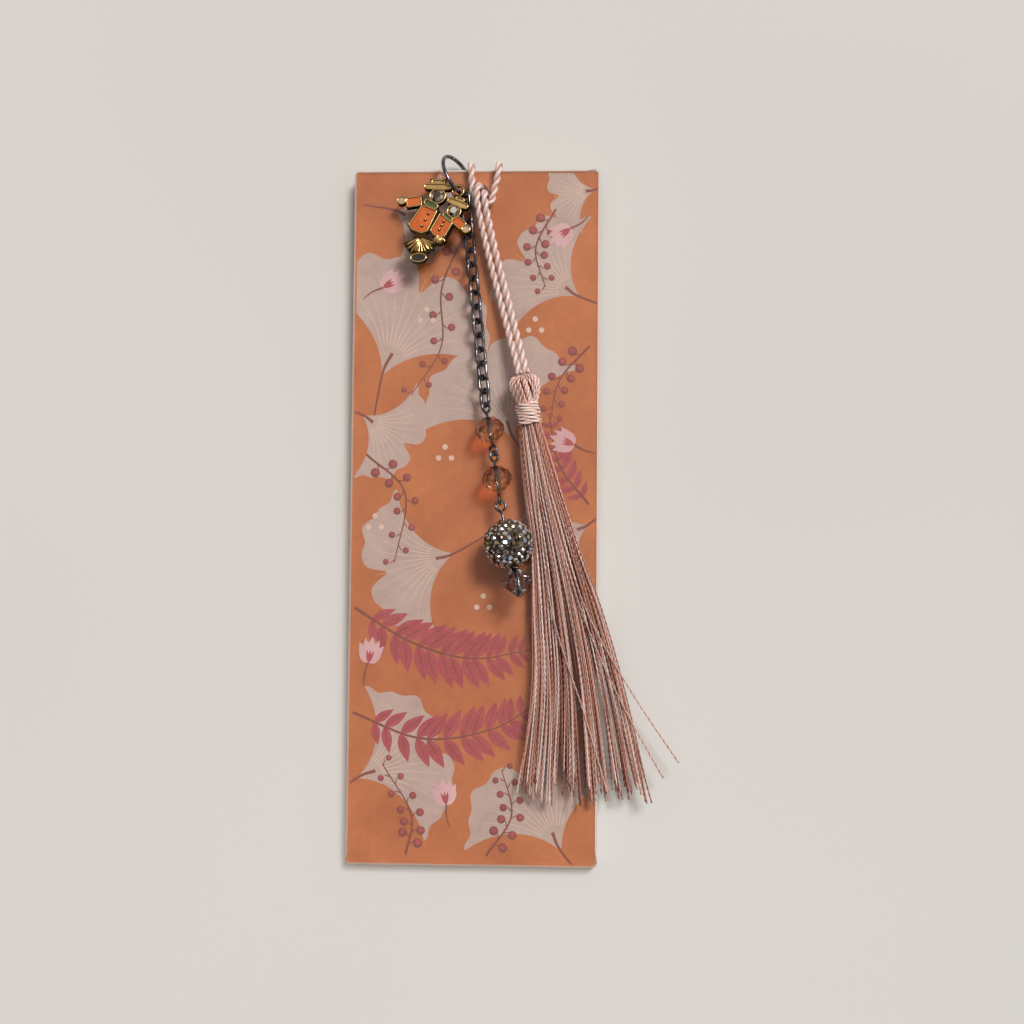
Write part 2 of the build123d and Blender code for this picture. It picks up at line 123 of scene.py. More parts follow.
def paint(piece, name, values, domain="POINT"):  # a number or a vector per point or face, for the material
    values = np.asarray(values, np.float32)
    isVector = values.ndim > 1 and values.shape[-1] == 3
    attribute = piece.data.attributes.new(name, "FLOAT_VECTOR" if isVector else "FLOAT", domain)
    attribute.data.foreach_set("vector" if isVector else "value", values.ravel())


def joined(parts):  # several (points, faces) as one
    points, faces = [], []
    for somePoints, someFaces in parts:
        start = sum(len(p) for p in points)
        points.append(np.asarray(somePoints).reshape(-1, 3))
        faces += [[k + start for k in face] for face in someFaces]
    return np.concatenate(points), faces


def gridIndex(points):  # a number for each point of a grid
    return np.arange(points[..., 0].size).reshape(points.shape[:-1])


def gridFaces(index, closeRows=False, closeColumns=False):
    # Quads over an index grid of (..., rows, columns), facing out where columns run
    # anticlockwise about the rows' direction
    last = index if closeRows else index[..., :-1, :]
    after = np.roll(index, -1, axis=-2)
    after = after if closeRows else after[..., :-1, :]
    quads = np.stack([last, np.roll(last, -1, -1), np.roll(after, -1, -1), after], axis=-1)
    quads = quads if closeColumns else quads[..., :-1, :]
    return quads.reshape(-1, 4).tolist()


def carriedFrames(paths, closed=False):
    # Normals carried along each path without twist: each is the last one less its part
    # along the new tangent
    if closed:
        tangents = unit(np.roll(paths, -1, axis=1) - np.roll(paths, 1, axis=1))
    else:
        tangents = unit(np.gradient(paths, axis=1))
    normals = np.empty_like(paths)
    normals[:, 0] = unit(np.cross(axisOff(tangents[:, 0]), tangents[:, 0]))
    for step in range(1, paths.shape[1]):
        here, last = tangents[:, step], normals[:, step - 1]
        normals[:, step] = unit(last - (last * here).sum(-1, keepdims=True) * here)
    return normals, np.cross(tangents, normals)


def sweptTubes(paths, radius, sides, closed=False):
    # Round tubes along paths (tubes, steps, 3): each ring is path + r (cos a N + sin a B)
    normals, binormals = carriedFrames(paths, closed)
    around = 2 * np.pi * np.arange(sides)[:, None] / sides
    radius = np.broadcast_to(radius, paths.shape[:2])[:, :, None, None]
    rings = paths[:, :, None] + radius * (
        np.cos(around) * normals[:, :, None] + np.sin(around) * binormals[:, :, None]
    )
    index = gridIndex(rings)
    faces = gridFaces(index, closed, True)
    if not closed:
        faces += index[:, 0, ::-1].tolist() + index[:, -1].tolist()
    return rings, faces


def runAlong(paths):  # distance run along each path
    steps = np.linalg.norm(np.diff(paths, axis=1), axis=-1)
    return np.concatenate([np.zeros((len(paths), 1)), np.cumsum(steps, axis=1)], axis=1)


def evenPoints(line, count, endpoint=True):  # points at equal steps along a line
    run = runAlong(line[None])[0]
    even = np.linspace(0, run[-1], count, endpoint=endpoint)
    return np.stack([np.interp(even, run, axis) for axis in line.T], axis=1)


def splineThrough(keys, steps):
    # A smooth curve through the keys, by Catmull-Rom: each span is the cubic whose end slopes
    # are half the step between its neighbours
    keys = np.concatenate([keys[:1] * 2 - keys[1:2], keys, keys[-1:] * 2 - keys[-2:-1]])
    place = np.linspace(0, len(keys) - 3 - 1e-9, steps)
    k = place.astype(int)
    t = (place - k).reshape(-1, *[1] * (keys.ndim - 1))
    a, b, c, d = keys[k], keys[k + 1], keys[k + 2], keys[k + 3]
    slope, bend, twist = c - a, 2 * a - 5 * b + 4 * c - d, 3 * b - a - 3 * c + d
    return 0.5 * (2 * b + slope * t + bend * t ** 2 + twist * t ** 3)


# Camera, at the photograph's angle
cameraLook = {
    "target": (7.67, 0.35, 3.0), "distance": 350.0, "leanX": 3.27, "leanY": -3.67, "roll": 0.48,
    "lens": 61.44, "sensor": 36.0, "clipStart": 10.0,
}
toEye = np.sin(np.radians([cameraLook["leanX"], cameraLook["leanY"], 0]))
toEye[2] = np.sqrt(1 - (toEye ** 2).sum())
level = unit(np.cross([0, 1, 0], toEye))
plumb = np.cross(toEye, level)
rollAngle = np.radians(cameraLook["roll"])
right = np.cos(rollAngle) * level + np.sin(rollAngle) * plumb
up = np.cos(rollAngle) * plumb - np.sin(rollAngle) * level
cameraData = bpy.data.cameras.new("camera")
cameraData.sensor_width = cameraLook["sensor"]
cameraData.lens = cameraLook["lens"]
cameraData.clip_start = cameraLook["clipStart"] * mm
camera = bpy.data.objects.new("camera", cameraData)
bpy.context.collection.objects.link(camera)
eye = (np.array(cameraLook["target"]) + toEye * cameraLook["distance"]) * mm
camera.matrix_world = Matrix((
    (right[0], up[0], toEye[0], eye[0]),
    (right[1], up[1], toEye[1], eye[1]),
    (right[2], up[2], toEye[2], eye[2]),
    (0, 0, 0, 1),
))
bpy.context.scene.camera = camera
bpy.context.scene.view_settings.view_transform = "Standard"
print("camera set")


def twistedViscose(name, stops, roughness):
    # viscose thread, twisted in plies: fine filaments along each ply that shine in streaks, and painted
    # shade, a deeper, redder tone down in the folds between the plies. The filaments, about nineteen round a
    # ply and changing every 2.5 mm, are drawn coarser than real ones so that they show
    finish = {"Roughness": roughness, "Specular IOR Level": 0.8, "Sheen Weight": 0.1}
    material, tree, shader = newMaterial(name, finish)
    weave = addNode(tree, "Attribute", "Vector", attribute_name="weave")
    drawn = addNode(tree, "Mapping", "Vector", {"Vector": weave, "Scale": (3.0, 3.0, 1 / 2.5)})
    filament = addNode(tree, "TexNoise", "Fac", {"Vector": drawn, "Scale": 1.0, "Detail": 3.0})
    toneAndFoldShade = addNode(tree, "Attribute", "Fac", attribute_name="toneAndFoldShade")
    streak = addNode(tree, "Math", 0, {0: filament, 1: 0.5, 2: -0.25}, operation="MULTIPLY_ADD")
    tone = addNode(tree, "Math", 0, {0: toneAndFoldShade, 1: streak}, operation="ADD")
    color = addNode(tree, "ValToRGB", "Color", {"Fac": tone}, stops)
    raised = {"Height": filament, "Strength": 0.4, "Distance": 0.05 * mm}
    bump = addNode(tree, "Bump", "Normal", raised)
    feed(tree, shader, {"Base Color": color, "Normal": bump})
    return material


# the painted fold shade is nil at evenAt and deepens towards a thread's middle
threadLook = {"phaseSpread": 40.0, "evenAt": 0.85}  # evenAt is the share of the radius that keeps its tone


def twistedPlies(paths, look):
    # Ply centres turning about each path once every pitch: path + offset (cos w N + sin w B). Threads
    # start at turns of their own, so that neighbours don't twist in step
    normals, binormals = carriedFrames(paths)
    startTurn = np.linspace(0, threadLook["phaseSpread"], len(paths))[:, None]
    plies = []
    for ply in range(look["plies"]):
        turn = 2 * np.pi * (runAlong(paths) / look["pitch"] + ply / look["plies"]) + startTurn
        swing = np.cos(turn[..., None]) * normals + np.sin(turn[..., None]) * binormals
        plies.append(paths + look["plyOffset"] * swing)
    return np.concatenate(plies)


def threadPiece(name, paths, look, material, body, tones):
    # Threads of twisted plies; a point's tone is its thread's own, raised or lowered with its share of the
    # thread's outer radius, so that the folds between the plies are darker as painted shade
    plies = twistedPlies(paths, look)
    rings, faces = sweptTubes(plies, look["plyRadius"], look["sides"])
    piece = meshPiece(name, rings, faces, material, body)
    middle = np.tile(paths, (look["plies"], 1, 1))[:, :, None]
    outward = np.linalg.norm(rings - middle, axis=-1) / (look["plyOffset"] + look["plyRadius"])
    # painted shade: each point's tone darkens as it lies nearer its thread's middle, down in the folds
    # between the plies
    toneAndFoldShade = np.tile(tones, look["plies"])[:, None, None] + look["paintedFoldShade"] * (outward - threadLook["evenAt"])
    paint(piece, "toneAndFoldShade", toneAndFoldShade.ravel())
    around = 2 * np.pi * np.arange(look["sides"]) / look["sides"]
    along = runAlong(plies) + np.arange(len(plies))[:, None]
    weave = np.broadcast_arrays(np.cos(around), np.sin(around), along[..., None])
    paint(piece, "weave", np.stack(weave, axis=-1))
    return piece


# Cord: one loop of twisted satin, hitched through the hole, both ends in the tassel
cordLook = {
    "plies": 2, "plyOffset": 0.33, "plyRadius": 0.4, "pitch": 4.2, "sides": 12, "paintedFoldShade": 0.75, "tone": 0.75,
    "spacing": 0.25, "roughness": 0.25,
    "stops": [(0.1, "#7A4134"), (0.4, "#B98474"), (0.7, "#DDB9AE"), (1.0, "#F2E2DC")],
}
leftStrand = [
    (9.05, 27.75, 6.4), (6.7, 36.5, 4.6), (4.4, 45.0, 3.95), (2.3, 53.0, 4.25), (0.82, 59.45, 5.0),
]
hitchLeft = [
    (0.6, 60.6, 5.2), (0.25, 62.5, 5.62), (0.15, 64.4, 5.75), (0.5, 66.15, 5.4), (0.62, 66.42, 3.4),
    (0.62, 66.2, 1.0), (0.55, 66.35, -1.0), (-0.1, 68.2, -1.2), (-0.8, 70.1, -1.05), (-1.2, 71.25, -0.3),
    (-1.3, 71.4, 1.5), (-1.25, 71.15, 3.4), (-1.12, 69.7, 4.0),
]
hitchFront = [
    (-1.02, 67.7, 3.87), (-0.9, 65.8, 3.9), (-0.55, 64.0, 3.87), (0.35, 62.75, 3.9), (1.7, 62.35, 3.87),
    (2.85, 62.95, 3.9), (3.4, 64.3, 3.87), (3.65, 66.0, 3.9), (4.15, 67.8, 3.87),
]
hitchRight = [
    (4.4, 69.7, 4.0), (4.5, 71.15, 3.4), (4.45, 71.4, 1.5), (4.3, 71.25, -0.3), (3.75, 70.1, -1.05),
    (2.75, 68.0, -1.2), (1.8, 65.35, -1.05), (1.66, 64.85, 1.0), (1.68, 64.95, 3.4), (1.68, 64.6, 5.3),
    (1.8, 62.9, 5.75), (2.1, 60.9, 5.35),
]
rightStrand = [
    (2.36, 59.75, 5.1), (3.85, 53.2, 4.3), (5.95, 45.2, 3.95), (8.2, 36.7, 4.6), (10.5, 27.95, 6.4),
]


def splinePoints(route, spacing):  # even points on the NURBS spline with these control points, in mm
    curve = bpy.data.curves.new("route", "CURVE")
    curve.dimensions = "3D"
    curve.resolution_u = 24
    spline = curve.splines.new("NURBS")
    spline.points.add(len(route) - 1)
    spline.points.foreach_set("co", np.c_[np.array(route) * mm, np.ones(len(route))].ravel())
    spline.order_u = 3
    spline.use_endpoint_u = True
    holder = bpy.data.objects.new("route", curve)
    bpy.context.collection.objects.link(holder)
    line = bpy.data.meshes.new_from_object(holder)
    points = np.empty(len(line.vertices) * 3)
    line.vertices.foreach_get("co", points)
    bpy.data.objects.remove(holder)
    points = points.reshape(-1, 3) / mm
    length = runAlong(points[None])[0, -1]
    return evenPoints(points, int(length / spacing) + 1)


satin = twistedViscose("palePinkSatin", cordLook["stops"], cordLook["roughness"])
cordRoute = leftStrand + hitchLeft + hitchFront + hitchRight + rightStrand
cordLine = splinePoints(cordRoute, cordLook["spacing"])
cord = threadPiece("hitchedCord", cordLine[None], cordLook, satin, None, [cordLook["tone"]])
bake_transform(cord)
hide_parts("cord_hitch", "cord_strands")
print("cord line", round(len(cordLine) * cordLook["spacing"], 1), "mm")

# Findings: ring, links and pins of plated wire
chainLook = {
    "ringCentre": (-3.82, 68.53, 2.94), "ringNormal": (0.797, 0.406, 0.448), "ringRadius": 4.7,
    "ringWire": 0.8, "ringCut": 201.0, "ringGap": 1.5, "ringSteps": 97, "ringSides": 16,
    "hookedAt": 16.0, "turn": 6.2, "rises": [3.0] + [0.0] * 9 + [1.0, 3.0, 7.0, 11.0, 12.5],
    "wire": 0.7, "innerLength": 2.96, "innerWidth": 1.6, "play": 0.06, "tilt": 45.0,
    "endSteps": 17, "sides": 12,
}
pinLook = {
    "wire": 0.6, "tube": 0.288, "eyeRadius": 0.95, "neckRadius": 1.0, "eyeTurn": 312.0,
    "upper": 5.1, "lower": 4.9, "turns": [10.0, 8.0], "rises": [0.5, 2.5],
    "upperTilts": [45.0, 45.0], "lowerTilts": [-45.0, 90.0], "steps": 9, "eyeSteps": 33, "sides": 12,
}


def blackNickelWire():
    # drawn wire plated in black nickel: a dark mirror, a little duller where it is handled
    material, tree, shader = newMaterial("blackNickelWire", {"Metallic": 1.0})
    stops = [(0.32, "#434146"), (0.55, "#716F75"), (0.75, "#B4B0AC")]
    wear, color = unevenColor(tree, 1.6, stops, 4.0)
    dull = {"Value": wear, "From Min": 0.3, "From Max": 0.7, "To Min": 0.1, "To Max": 0.24}
    roughness = addNode(tree, "MapRange", "Result", dull)
    feed(tree, shader, {"Base Color": color, "Roughness": roughness})
    return material


def heading(turn, rise):  # down the slab, turned to +X and lifted
    turn, rise = np.radians([turn, rise])
    return np.array([np.sin(turn) * np.cos(rise), -np.cos(turn) * np.cos(rise), np.sin(rise)])


def wirePlane(direction, tilt):  # axes of a plane along the direction, rolled about it
    side = unit(np.cross([0, 0, 1], direction))
    normal = np.cross(direction, side) * np.cos(np.radians(tilt)) + side * np.sin(np.radians(tilt))
    return np.stack([direction, np.cross(normal, direction), normal])


def arc(centre, radius, fromAngle, toAngle, steps):  # centre + r (cos a, sin a), flat
    angle = np.radians(np.linspace(fromAngle, toAngle, steps))
    return atHeight(np.array(centre) + radius * circle(angle), 0)


ringCentre = np.array(chainLook["ringCentre"])
ringNormal = unit(np.array(chainLook["ringNormal"]))
ringAlong = unit(np.cross(ringNormal, [0, 0, 1]))
ringUp = np.cross(ringAlong, ringNormal)


def onRing(angle):  # the wire's middle: centre + r (cos a along + sin a up)
    angle = np.radians(np.asarray(angle, float))[..., None]
    return ringCentre + chainLook["ringRadius"] * (np.cos(angle) * ringAlong + np.sin(angle) * ringUp)


blackNickel = blackNickelWire()
roundRing = np.linspace(0, 360 - chainLook["ringGap"], chainLook["ringSteps"])
ringPath = onRing(chainLook["ringCut"] + roundRing)  # cut behind the slab
points, faces = sweptTubes(ringPath[None], chainLook["ringWire"] / 2, chainLook["ringSides"])
ring = meshPiece("jumpRing", points, faces, blackNickel, "jump_ring")
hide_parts("jump_ring")

endRadius = (chainLook["innerWidth"] + chainLook["wire"]) / 2
straight = chainLook["innerLength"] + chainLook["wire"] - 2 * endRadius
linkPath = np.concatenate([
    arc((straight / 2, 0), endRadius, 90, -90, chainLook["endSteps"]),
    arc((-straight / 2, 0), endRadius, 270, 90, chainLook["endSteps"]),
])
ringSlack = chainLook["ringWire"] / 2 + chainLook["play"]
innerStart = onRing(chainLook["hookedAt"]) - heading(chainLook["turn"], 0) * ringSlack
for number, rise in enumerate(chainLook["rises"], 1):
    direction = heading(chainLook["turn"], rise)
    axes = wirePlane(direction, -chainLook["tilt"] if number % 2 else chainLook["tilt"])
    linkLine = innerStart + direction * chainLook["innerLength"] / 2 + linkPath @ axes
    points, faces = sweptTubes(linkLine[None], chainLook["wire"] / 2, chainLook["sides"], closed=True)
    link = meshPiece(f"chainLink{number:02d}", points, faces, blackNickel, f"link_{number:02d}")
    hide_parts(f"chain_link_{number:02d}")
    innerStart = innerStart + direction * (chainLook["innerLength"] - chainLook["play"])
print("ring and chain made")


def eyePath(toEye, radius, neckRadius):
    # In a plane: a shank along x, a neck bent aside, and a loop bent back round to meet it
    turn = np.degrees(np.arccos(neckRadius / (neckRadius + radius)))
    reach = (neckRadius + radius) * np.sin(np.radians(turn))
    shank = toEye - reach - (radius - pinLook["wire"] / 2)
    return np.concatenate([
        np.outer(np.linspace(0, shank, pinLook["steps"])[:-1], [1, 0, 0]),
        arc((shank, neckRadius), neckRadius, -90, turn - 90, pinLook["steps"])[:-1],
        arc((shank + reach, 0), radius, 90 + turn, 90 + turn - pinLook["eyeTurn"], pinLook["eyeSteps"]),
    ])


def facetedBead(stations, sides, bore):
    # Rings of (distance, radius), each turned half a facet from the last, joined by flat
    # triangles, and closed through a bore
    rows = np.array([(*station, 0.5 * (row % 2)) for row, station in enumerate(stations)])
    rows = np.concatenate([rows, [(rows[0, 0], bore, rows[0, 2]), (rows[-1, 0], bore, rows[-1, 2])]])
    around = 2 * np.pi * (np.arange(sides) + rows[:, 2:]) / sides
    distance, radius = rows[:, :1] + 0 * around, rows[:, 1:2]
    rings = np.stack([distance, radius * np.cos(around), radius * np.sin(around)], axis=-1)
    index = gridIndex(rings)
    faces = []
    for row in range(len(stations) - 1):
        a, b = index[row], index[row + 1]
        a2, b2 = np.roll(a, -1), np.roll(b, -1)
        pairs = ((a, b2, b), (a, a2, b2)) if row % 2 else ((a, a2, b), (a2, b2, b))
        faces += np.concatenate([np.stack(pair, axis=1) for pair in pairs]).tolist()
    top, foot = index[-2], index[-1]
    for a, b in ((top, index[0]), (index[-3], foot), (foot, top)):
        faces += gridFaces(np.stack([a, b]), closeColumns=True)
    return rings, faces


def letLampsThrough(material, tree, shader, cast):  # a lamp's ray passes, coloured by the cast
    lampRay = addNode(tree, "LightPath", "Is Shadow Ray")
    passing = addNode(tree, "BsdfTransparent", 0, {"Color": cast})
    mix = addNode(tree, "MixShader", 0, {0: lampRay, 1: shader.outputs[0], 2: passing})
    feed(tree, tree.nodes["Material Output"], {"Surface": mix})
    return material


def cutGlass(name, rim, deep, pale, glow):
    # pressed and polished glass, tinted through: each facet painted a little paler or deeper than the next as
    # painted reflection, a dark rim painted as shade where the facets turn from the eye, sharp glints, and a
    # shadow with a glowing middle, where the bead gathers the light
    finish = {"Roughness": 0.015, "IOR": 1.6, "Transmission Weight": 1.0}
    material, tree, shader = newMaterial(name, finish)
    facet = addNode(tree, "Attribute", "Fac", attribute_name="facet")
    slant = addNode(tree, "LayerWeight", "Facing", {"Blend": 0.5})
    # painted shade: the colour darkens to the rim as a facet turns from the eye; each facet's random tone is
    # a painted reflection
    tone = addNode(tree, "Math", 0, {0: slant, 1: -0.7, 2: facet}, operation="MULTIPLY_ADD")
    stops = [(0.0, rim), (0.25, deep), (0.8, pale)]
    feed(tree, shader, {"Base Color": addNode(tree, "ValToRGB", "Color", {"Fac": tone}, stops)})
    cast = addNode(tree, "ValToRGB", "Color", {"Fac": slant}, [(0.1, glow), (0.55, rim)])
    return letLampsThrough(material, tree, shader, cast)


beadLook = {
    "sides": 14, "bore": 0.36,
    "stations": [(-2.4, 1.25), (-1.5, 2.42), (-0.5, 2.97), (0.5, 2.97), (1.5, 2.42), (2.4, 1.25)],
}
peachGlass = cutGlass("champagneCutGlass", "#6F5240", "#D6B897", "#FFFBF4", "#FFD3A0")
smokyGlass = cutGlass("smokyCutGlass", "#5B4C50", "#A5969A", "#FBF7F7", "#EBDDD6")
rng = np.random.default_rng(3)
pinRows = zip(pinLook["turns"], pinLook["rises"], pinLook["upperTilts"], pinLook["lowerTilts"])
for number, (turn, rise, upperTilt, lowerTilt) in enumerate(pinRows, 1):
    direction = heading(turn, rise)
    middle = innerStart + direction * pinLook["upper"]
    eyeSize = (pinLook["eyeRadius"], pinLook["neckRadius"])
    upperEye = eyePath(pinLook["upper"], *eyeSize) @ wirePlane(-direction, -upperTilt)
    lowerEye = eyePath(pinLook["lower"], *eyeSize) @ wirePlane(direction, lowerTilt)
    path = middle + np.concatenate([upperEye[:0:-1], lowerEye])
    points, faces = sweptTubes(path[None], pinLook["tube"], pinLook["sides"])
    pin = meshPiece(f"eyePin{number}", points, faces, blackNickel, f"bead_link_{number}")
    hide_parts(f"eye_pin_{number}")
    points, faces = facetedBead(beadLook["stations"], beadLook["sides"], beadLook["bore"])
    points = middle + points @ wirePlane(direction, 0)
    bead = meshPiece(f"rondelle{number}", points, faces, peachGlass, f"bead_{number}", False)
    # a random tone for each facet, as painted reflection
    paint(bead, "facet", rng.random(len(faces)), "FACE")
    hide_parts(f"bead_{number}")
    innerStart = middle + direction * (pinLook["lower"] - chainLook["play"])

# Dangle: a head pin through a stone-set ball and a bicone
dangleLook = {
    "turn": 13.0, "rise": 10.5, "upper": 8.6, "eyeRadius": 1.0, "neckRadius": 1.6, "ballRadius": 5.0,
    "biconeLength": 5.4, "biconeSides": 8, "bicone": [(-2.7, 0.9), (-0.25, 2.95), (0.25, 2.95), (2.7, 0.9)],
    "stackPlay": 0.1, "headThickness": 0.3, "headRadii": [0.5, 0.63, 0.65, 0.6, 0.4], "headSides": 16,
}
direction = heading(dangleLook["turn"], dangleLook["rise"])
ballCentre = innerStart + direction * dangleLook["upper"]
biconeAway = dangleLook["ballRadius"] + dangleLook["biconeLength"] / 2 + dangleLook["stackPlay"]
pinEnd = biconeAway + dangleLook["biconeLength"] / 2 + dangleLook["stackPlay"]
eyePart = eyePath(*(dangleLook[key] for key in ("upper", "eyeRadius", "neckRadius")))
eyePart = eyePart @ wirePlane(-direction, 0)
shankPart = direction * np.linspace(0, pinEnd, pinLook["steps"])[1:, None]
wirePath = ballCentre + np.concatenate([eyePart[::-1], shankPart])
wireTube = sweptTubes(wirePath[None], pinLook["tube"], pinLook["sides"])
headRadii = np.array([dangleLook["headRadii"]])
headDepth = pinEnd + dangleLook["headThickness"] * np.linspace(0, 1, headRadii.size)
headTube = sweptTubes((ballCentre + direction * headDepth[:, None])[None], headRadii, dangleLook["headSides"])
headPin = meshPiece("headPin", *joined([wireTube, headTube]), blackNickel, "dangle")
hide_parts("head_pin")

points, faces = facetedBead(dangleLook["bicone"], dangleLook["biconeSides"], beadLook["bore"])
points = ballCentre + direction * biconeAway + points @ wirePlane(direction, 0)
biconeBead = meshPiece("biconeBead", points, faces, smokyGlass, "bicone", False)
# a random tone for each facet, as painted reflection
paint(biconeBead, "facet", rng.random(len(faces)), "FACE")
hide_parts("bicone_bead")

ballLook = {
    "coreRadius": 4.58, "rows": 33, "columns": 48, "stones": 176, "girdle": 0.6, "table": 0.33, "crown": 0.3,
    "depth": 0.2, "sides": 8, "seat": 4.66, "lean": 0.28, "spread": 0.985, "sparkleSpread": 0.3,
}
ballSide = unit(np.cross([0, 0, 1], direction))
ballAxes = np.stack([ballSide, np.cross(direction, ballSide), direction])


def paveClay():
    # epoxy clay pressed into a ball: matt, dark and gritty between the stones. The grit, 0.4 mm, is
    # drawn coarser than it is so that it shows
    material, tree, shader = newMaterial("paveClay", {"Roughness": 0.75})
    grit, color = unevenColor(tree, 0.4, [(0.35, "#2A2321"), (0.7, "#4B403A")], 3.0)
    bump = addNode(tree, "Bump", "Normal", {"Height": grit, "Strength": 0.5, "Distance": 0.1 * mm})
    feed(tree, shader, {"Base Color": color, "Normal": bump})
    return material


def foiledRhinestone():
    # cut glass over foil, each facet a small tinted mirror, painted bright, black or pale blue at random as
    # painted reflection and glint
    material, tree, shader = newMaterial("foiledRhinestone", {"Metallic": 0.9, "Roughness": 0.03})
    paintedSparkle = addNode(tree, "Attribute", "Fac", attribute_name="paintedSparkle")
    stops = [(0.0, "#352D28"), (0.3, "#7B6757"), (0.6, "#CDB498"), (0.88, "#F8EFE2"), (1.0, "#A9BFDE")]
    feed(tree, shader, {"Base Color": addNode(tree, "ValToRGB", "Color", {"Fac": paintedSparkle}, stops)})
    return material


def brilliant(sides, girdle, table, crown, depth):
    # A cut stone: a table, triangles down to a girdle turned half a facet, and below it a taper to
    # 0.8 of the girdle
    radius, height = np.array([[girdle * 0.8, girdle, table], [-depth, 0.0, crown]])[:, :, None]
    around = 2 * np.pi * (np.arange(sides) + np.array([[0.5], [0.5], [0.0]])) / sides
    points = np.stack([radius * np.cos(around), radius * np.sin(around), height + 0 * around], axis=-1)
    low, mid, top = gridIndex(points)
    faces = gridFaces(np.stack([low, mid]), closeColumns=True)
    faces += np.stack([mid, np.roll(mid, -1), np.roll(top, -1)], axis=1).tolist()
    faces += np.stack([top, mid, np.roll(top, -1)], axis=1).tolist() + [top.tolist(), low[::-1].tolist()]
    return points.reshape(-1, 3), faces


def setStones(stone, places, outward):  # copies of one stone at each place, standing outward
    points, faces = stone
    side = unit(np.cross(outward, axisOff(outward)))
    axes = np.stack([side, np.cross(outward, side), outward], axis=1)
    everyPoint = places[:, None] + np.einsum("pk,nkc->npc", points, axes)
    everyFace = [[k + len(points) * n for k in face] for n in range(len(places)) for face in faces]
    return everyPoint, everyFace


# the clay is a sphere between the two mouths of its bore, closed through the bore
mouth = np.arcsin(beadLook["bore"] / ballLook["coreRadius"])
polar = np.linspace(np.pi - mouth, mouth, ballLook["rows"])[:, None]
around = 2 * np.pi * np.arange(ballLook["columns"]) / ballLook["columns"]
core = np.stack([
    np.sin(polar) * np.cos(around), np.sin(polar) * np.sin(around), np.cos(polar) + 0 * around,
], axis=-1)
corePoints = ballCentre + ballLook["coreRadius"] * core @ ballAxes
ballCore = meshPiece("paveCore", corePoints, gridFaces(gridIndex(core), True, True), paveClay(), "pave_ball")
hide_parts("pave_core")

# stones in an even spiral, each leaning a little its own way
rhinestone = foiledRhinestone()
stoneNumber = np.arange(ballLook["stones"])
height = ballLook["spread"] * (1 - (2 * stoneNumber + 1) / ballLook["stones"])
spiral = stoneNumber * np.pi * (3 - np.sqrt(5))
girth = np.sqrt(1 - height ** 2)
outward = np.stack([girth * np.cos(spiral), girth * np.sin(spiral), height], axis=1) @ ballAxes
leaning = unit(outward + ballLook["lean"] * rng.uniform(-1, 1, outward.shape))
ballStone = brilliant(*(ballLook[key] for key in ("sides", "girdle", "table", "crown", "depth")))
points, faces = setStones(ballStone, ballCentre + ballLook["seat"] * outward, leaning)
ballStones = meshPiece("paveStones", points, faces, rhinestone, "pave_ball", False)
# painted sparkle: each stone, then each facet, bright or dark at random, as painted reflection
stoneSparkle = np.repeat(rng.random(ballLook["stones"]), len(ballStone[1]))
facetSparkle = stoneSparkle + rng.normal(0, ballLook["sparkleSpread"], len(faces))
paint(ballStones, "paintedSparkle", np.clip(facetSparkle, 0, 1), "FACE")
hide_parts("pave_stones")
print("beads and ball made")

# Tassel: threads folded over the cord, bound at the neck, hanging in a fan
tasselLook = {
    "top": (9.75, 27.6, 6.45), "neckEnd": (11.3, 17.4, 5.85), "roughness": 0.22, "coreSides": 24,
    "stops": [(0.1, "#7A3322"), (0.35, "#B56B53"), (0.6, "#D9A38E"), (0.85, "#ECCFC4"), (1.0, "#F8ECE7")],
}
tasselTop = np.array(tasselLook["top"])
tasselAxis = unit(np.array(tasselLook["neckEnd"]) - tasselTop)
tasselSide = unit(np.cross([0, 0, 1], tasselAxis))
tasselAxes = np.stack([tasselAxis, tasselSide, np.cross(tasselAxis, tasselSide)])
silk = twistedViscose("peachViscose", tasselLook["stops"], tasselLook["roughness"])

# head: each thread climbs from the neck, swells and folds in; a valley parts two lobes
headLook = {
    "threads": 30, "steps": 56, "plies": 2, "plyOffset": 0.15, "plyRadius": 0.19, "pitch": 2.4, "sides": 6,
    "paintedFoldShade": 0.9, "tones": (0.5, 0.85), "climb": 5.0, "uneven": 0.03, "ragged": 0.12,
    "valleyAt": 1.25, "valleyDepth": 0.3, "valleyWidth": 0.3, "valleyLean": 0.3, "valleyOpens": 1.6,
    "valleyDrop": 2.2, "coreSteps": 12,
    "profile": [
        (6.1, 1.85), (4.9, 2.2), (3.5, 2.72), (2.1, 2.86), (1.0, 2.5), (0.55, 1.75), (0.8, 1.0), (1.8, 0.6),
    ],
    "core": [(1.3, 0.3), (1.6, 1.4), (2.4, 2.1), (3.6, 2.1), (4.8, 1.75), (6.0, 1.5)],
}
rng = np.random.default_rng(11)
count = headLook["threads"]
profile = splineThrough(np.array(headLook["profile"]), headLook["steps"])
roundAt = 2 * np.pi * (np.arange(count) + 0.5 * rng.random(count)) / count
climb = np.clip((profile[0, 0] - profile[:, 0]) / headLook["climb"], 0, 1)
roundAt = roundAt[:, None] + headLook["valleyLean"] * (climb - 0.5)
away = np.angle(np.exp(2j * (roundAt - headLook["valleyAt"]))) / 2  # from the valley's line, on either side
dip = headLook["valleyDepth"] * np.exp(-(away / headLook["valleyWidth"]) ** 2)
dip = dip * np.clip(headLook["valleyOpens"] * climb, 0, 1)
radial = profile[:, 1] * (1 - dip) * (1 + headLook["uneven"] * rng.standard_normal((count, 1)))
axial = profile[:, 0] + headLook["valleyDrop"] * dip * climb
axial = axial + headLook["ragged"] * rng.standard_normal((count, 1)) * climb
headPaths = np.stack([axial, radial * np.cos(roundAt), radial * np.sin(roundAt)], axis=-1)
headPaths = tasselTop + headPaths @ tasselAxes
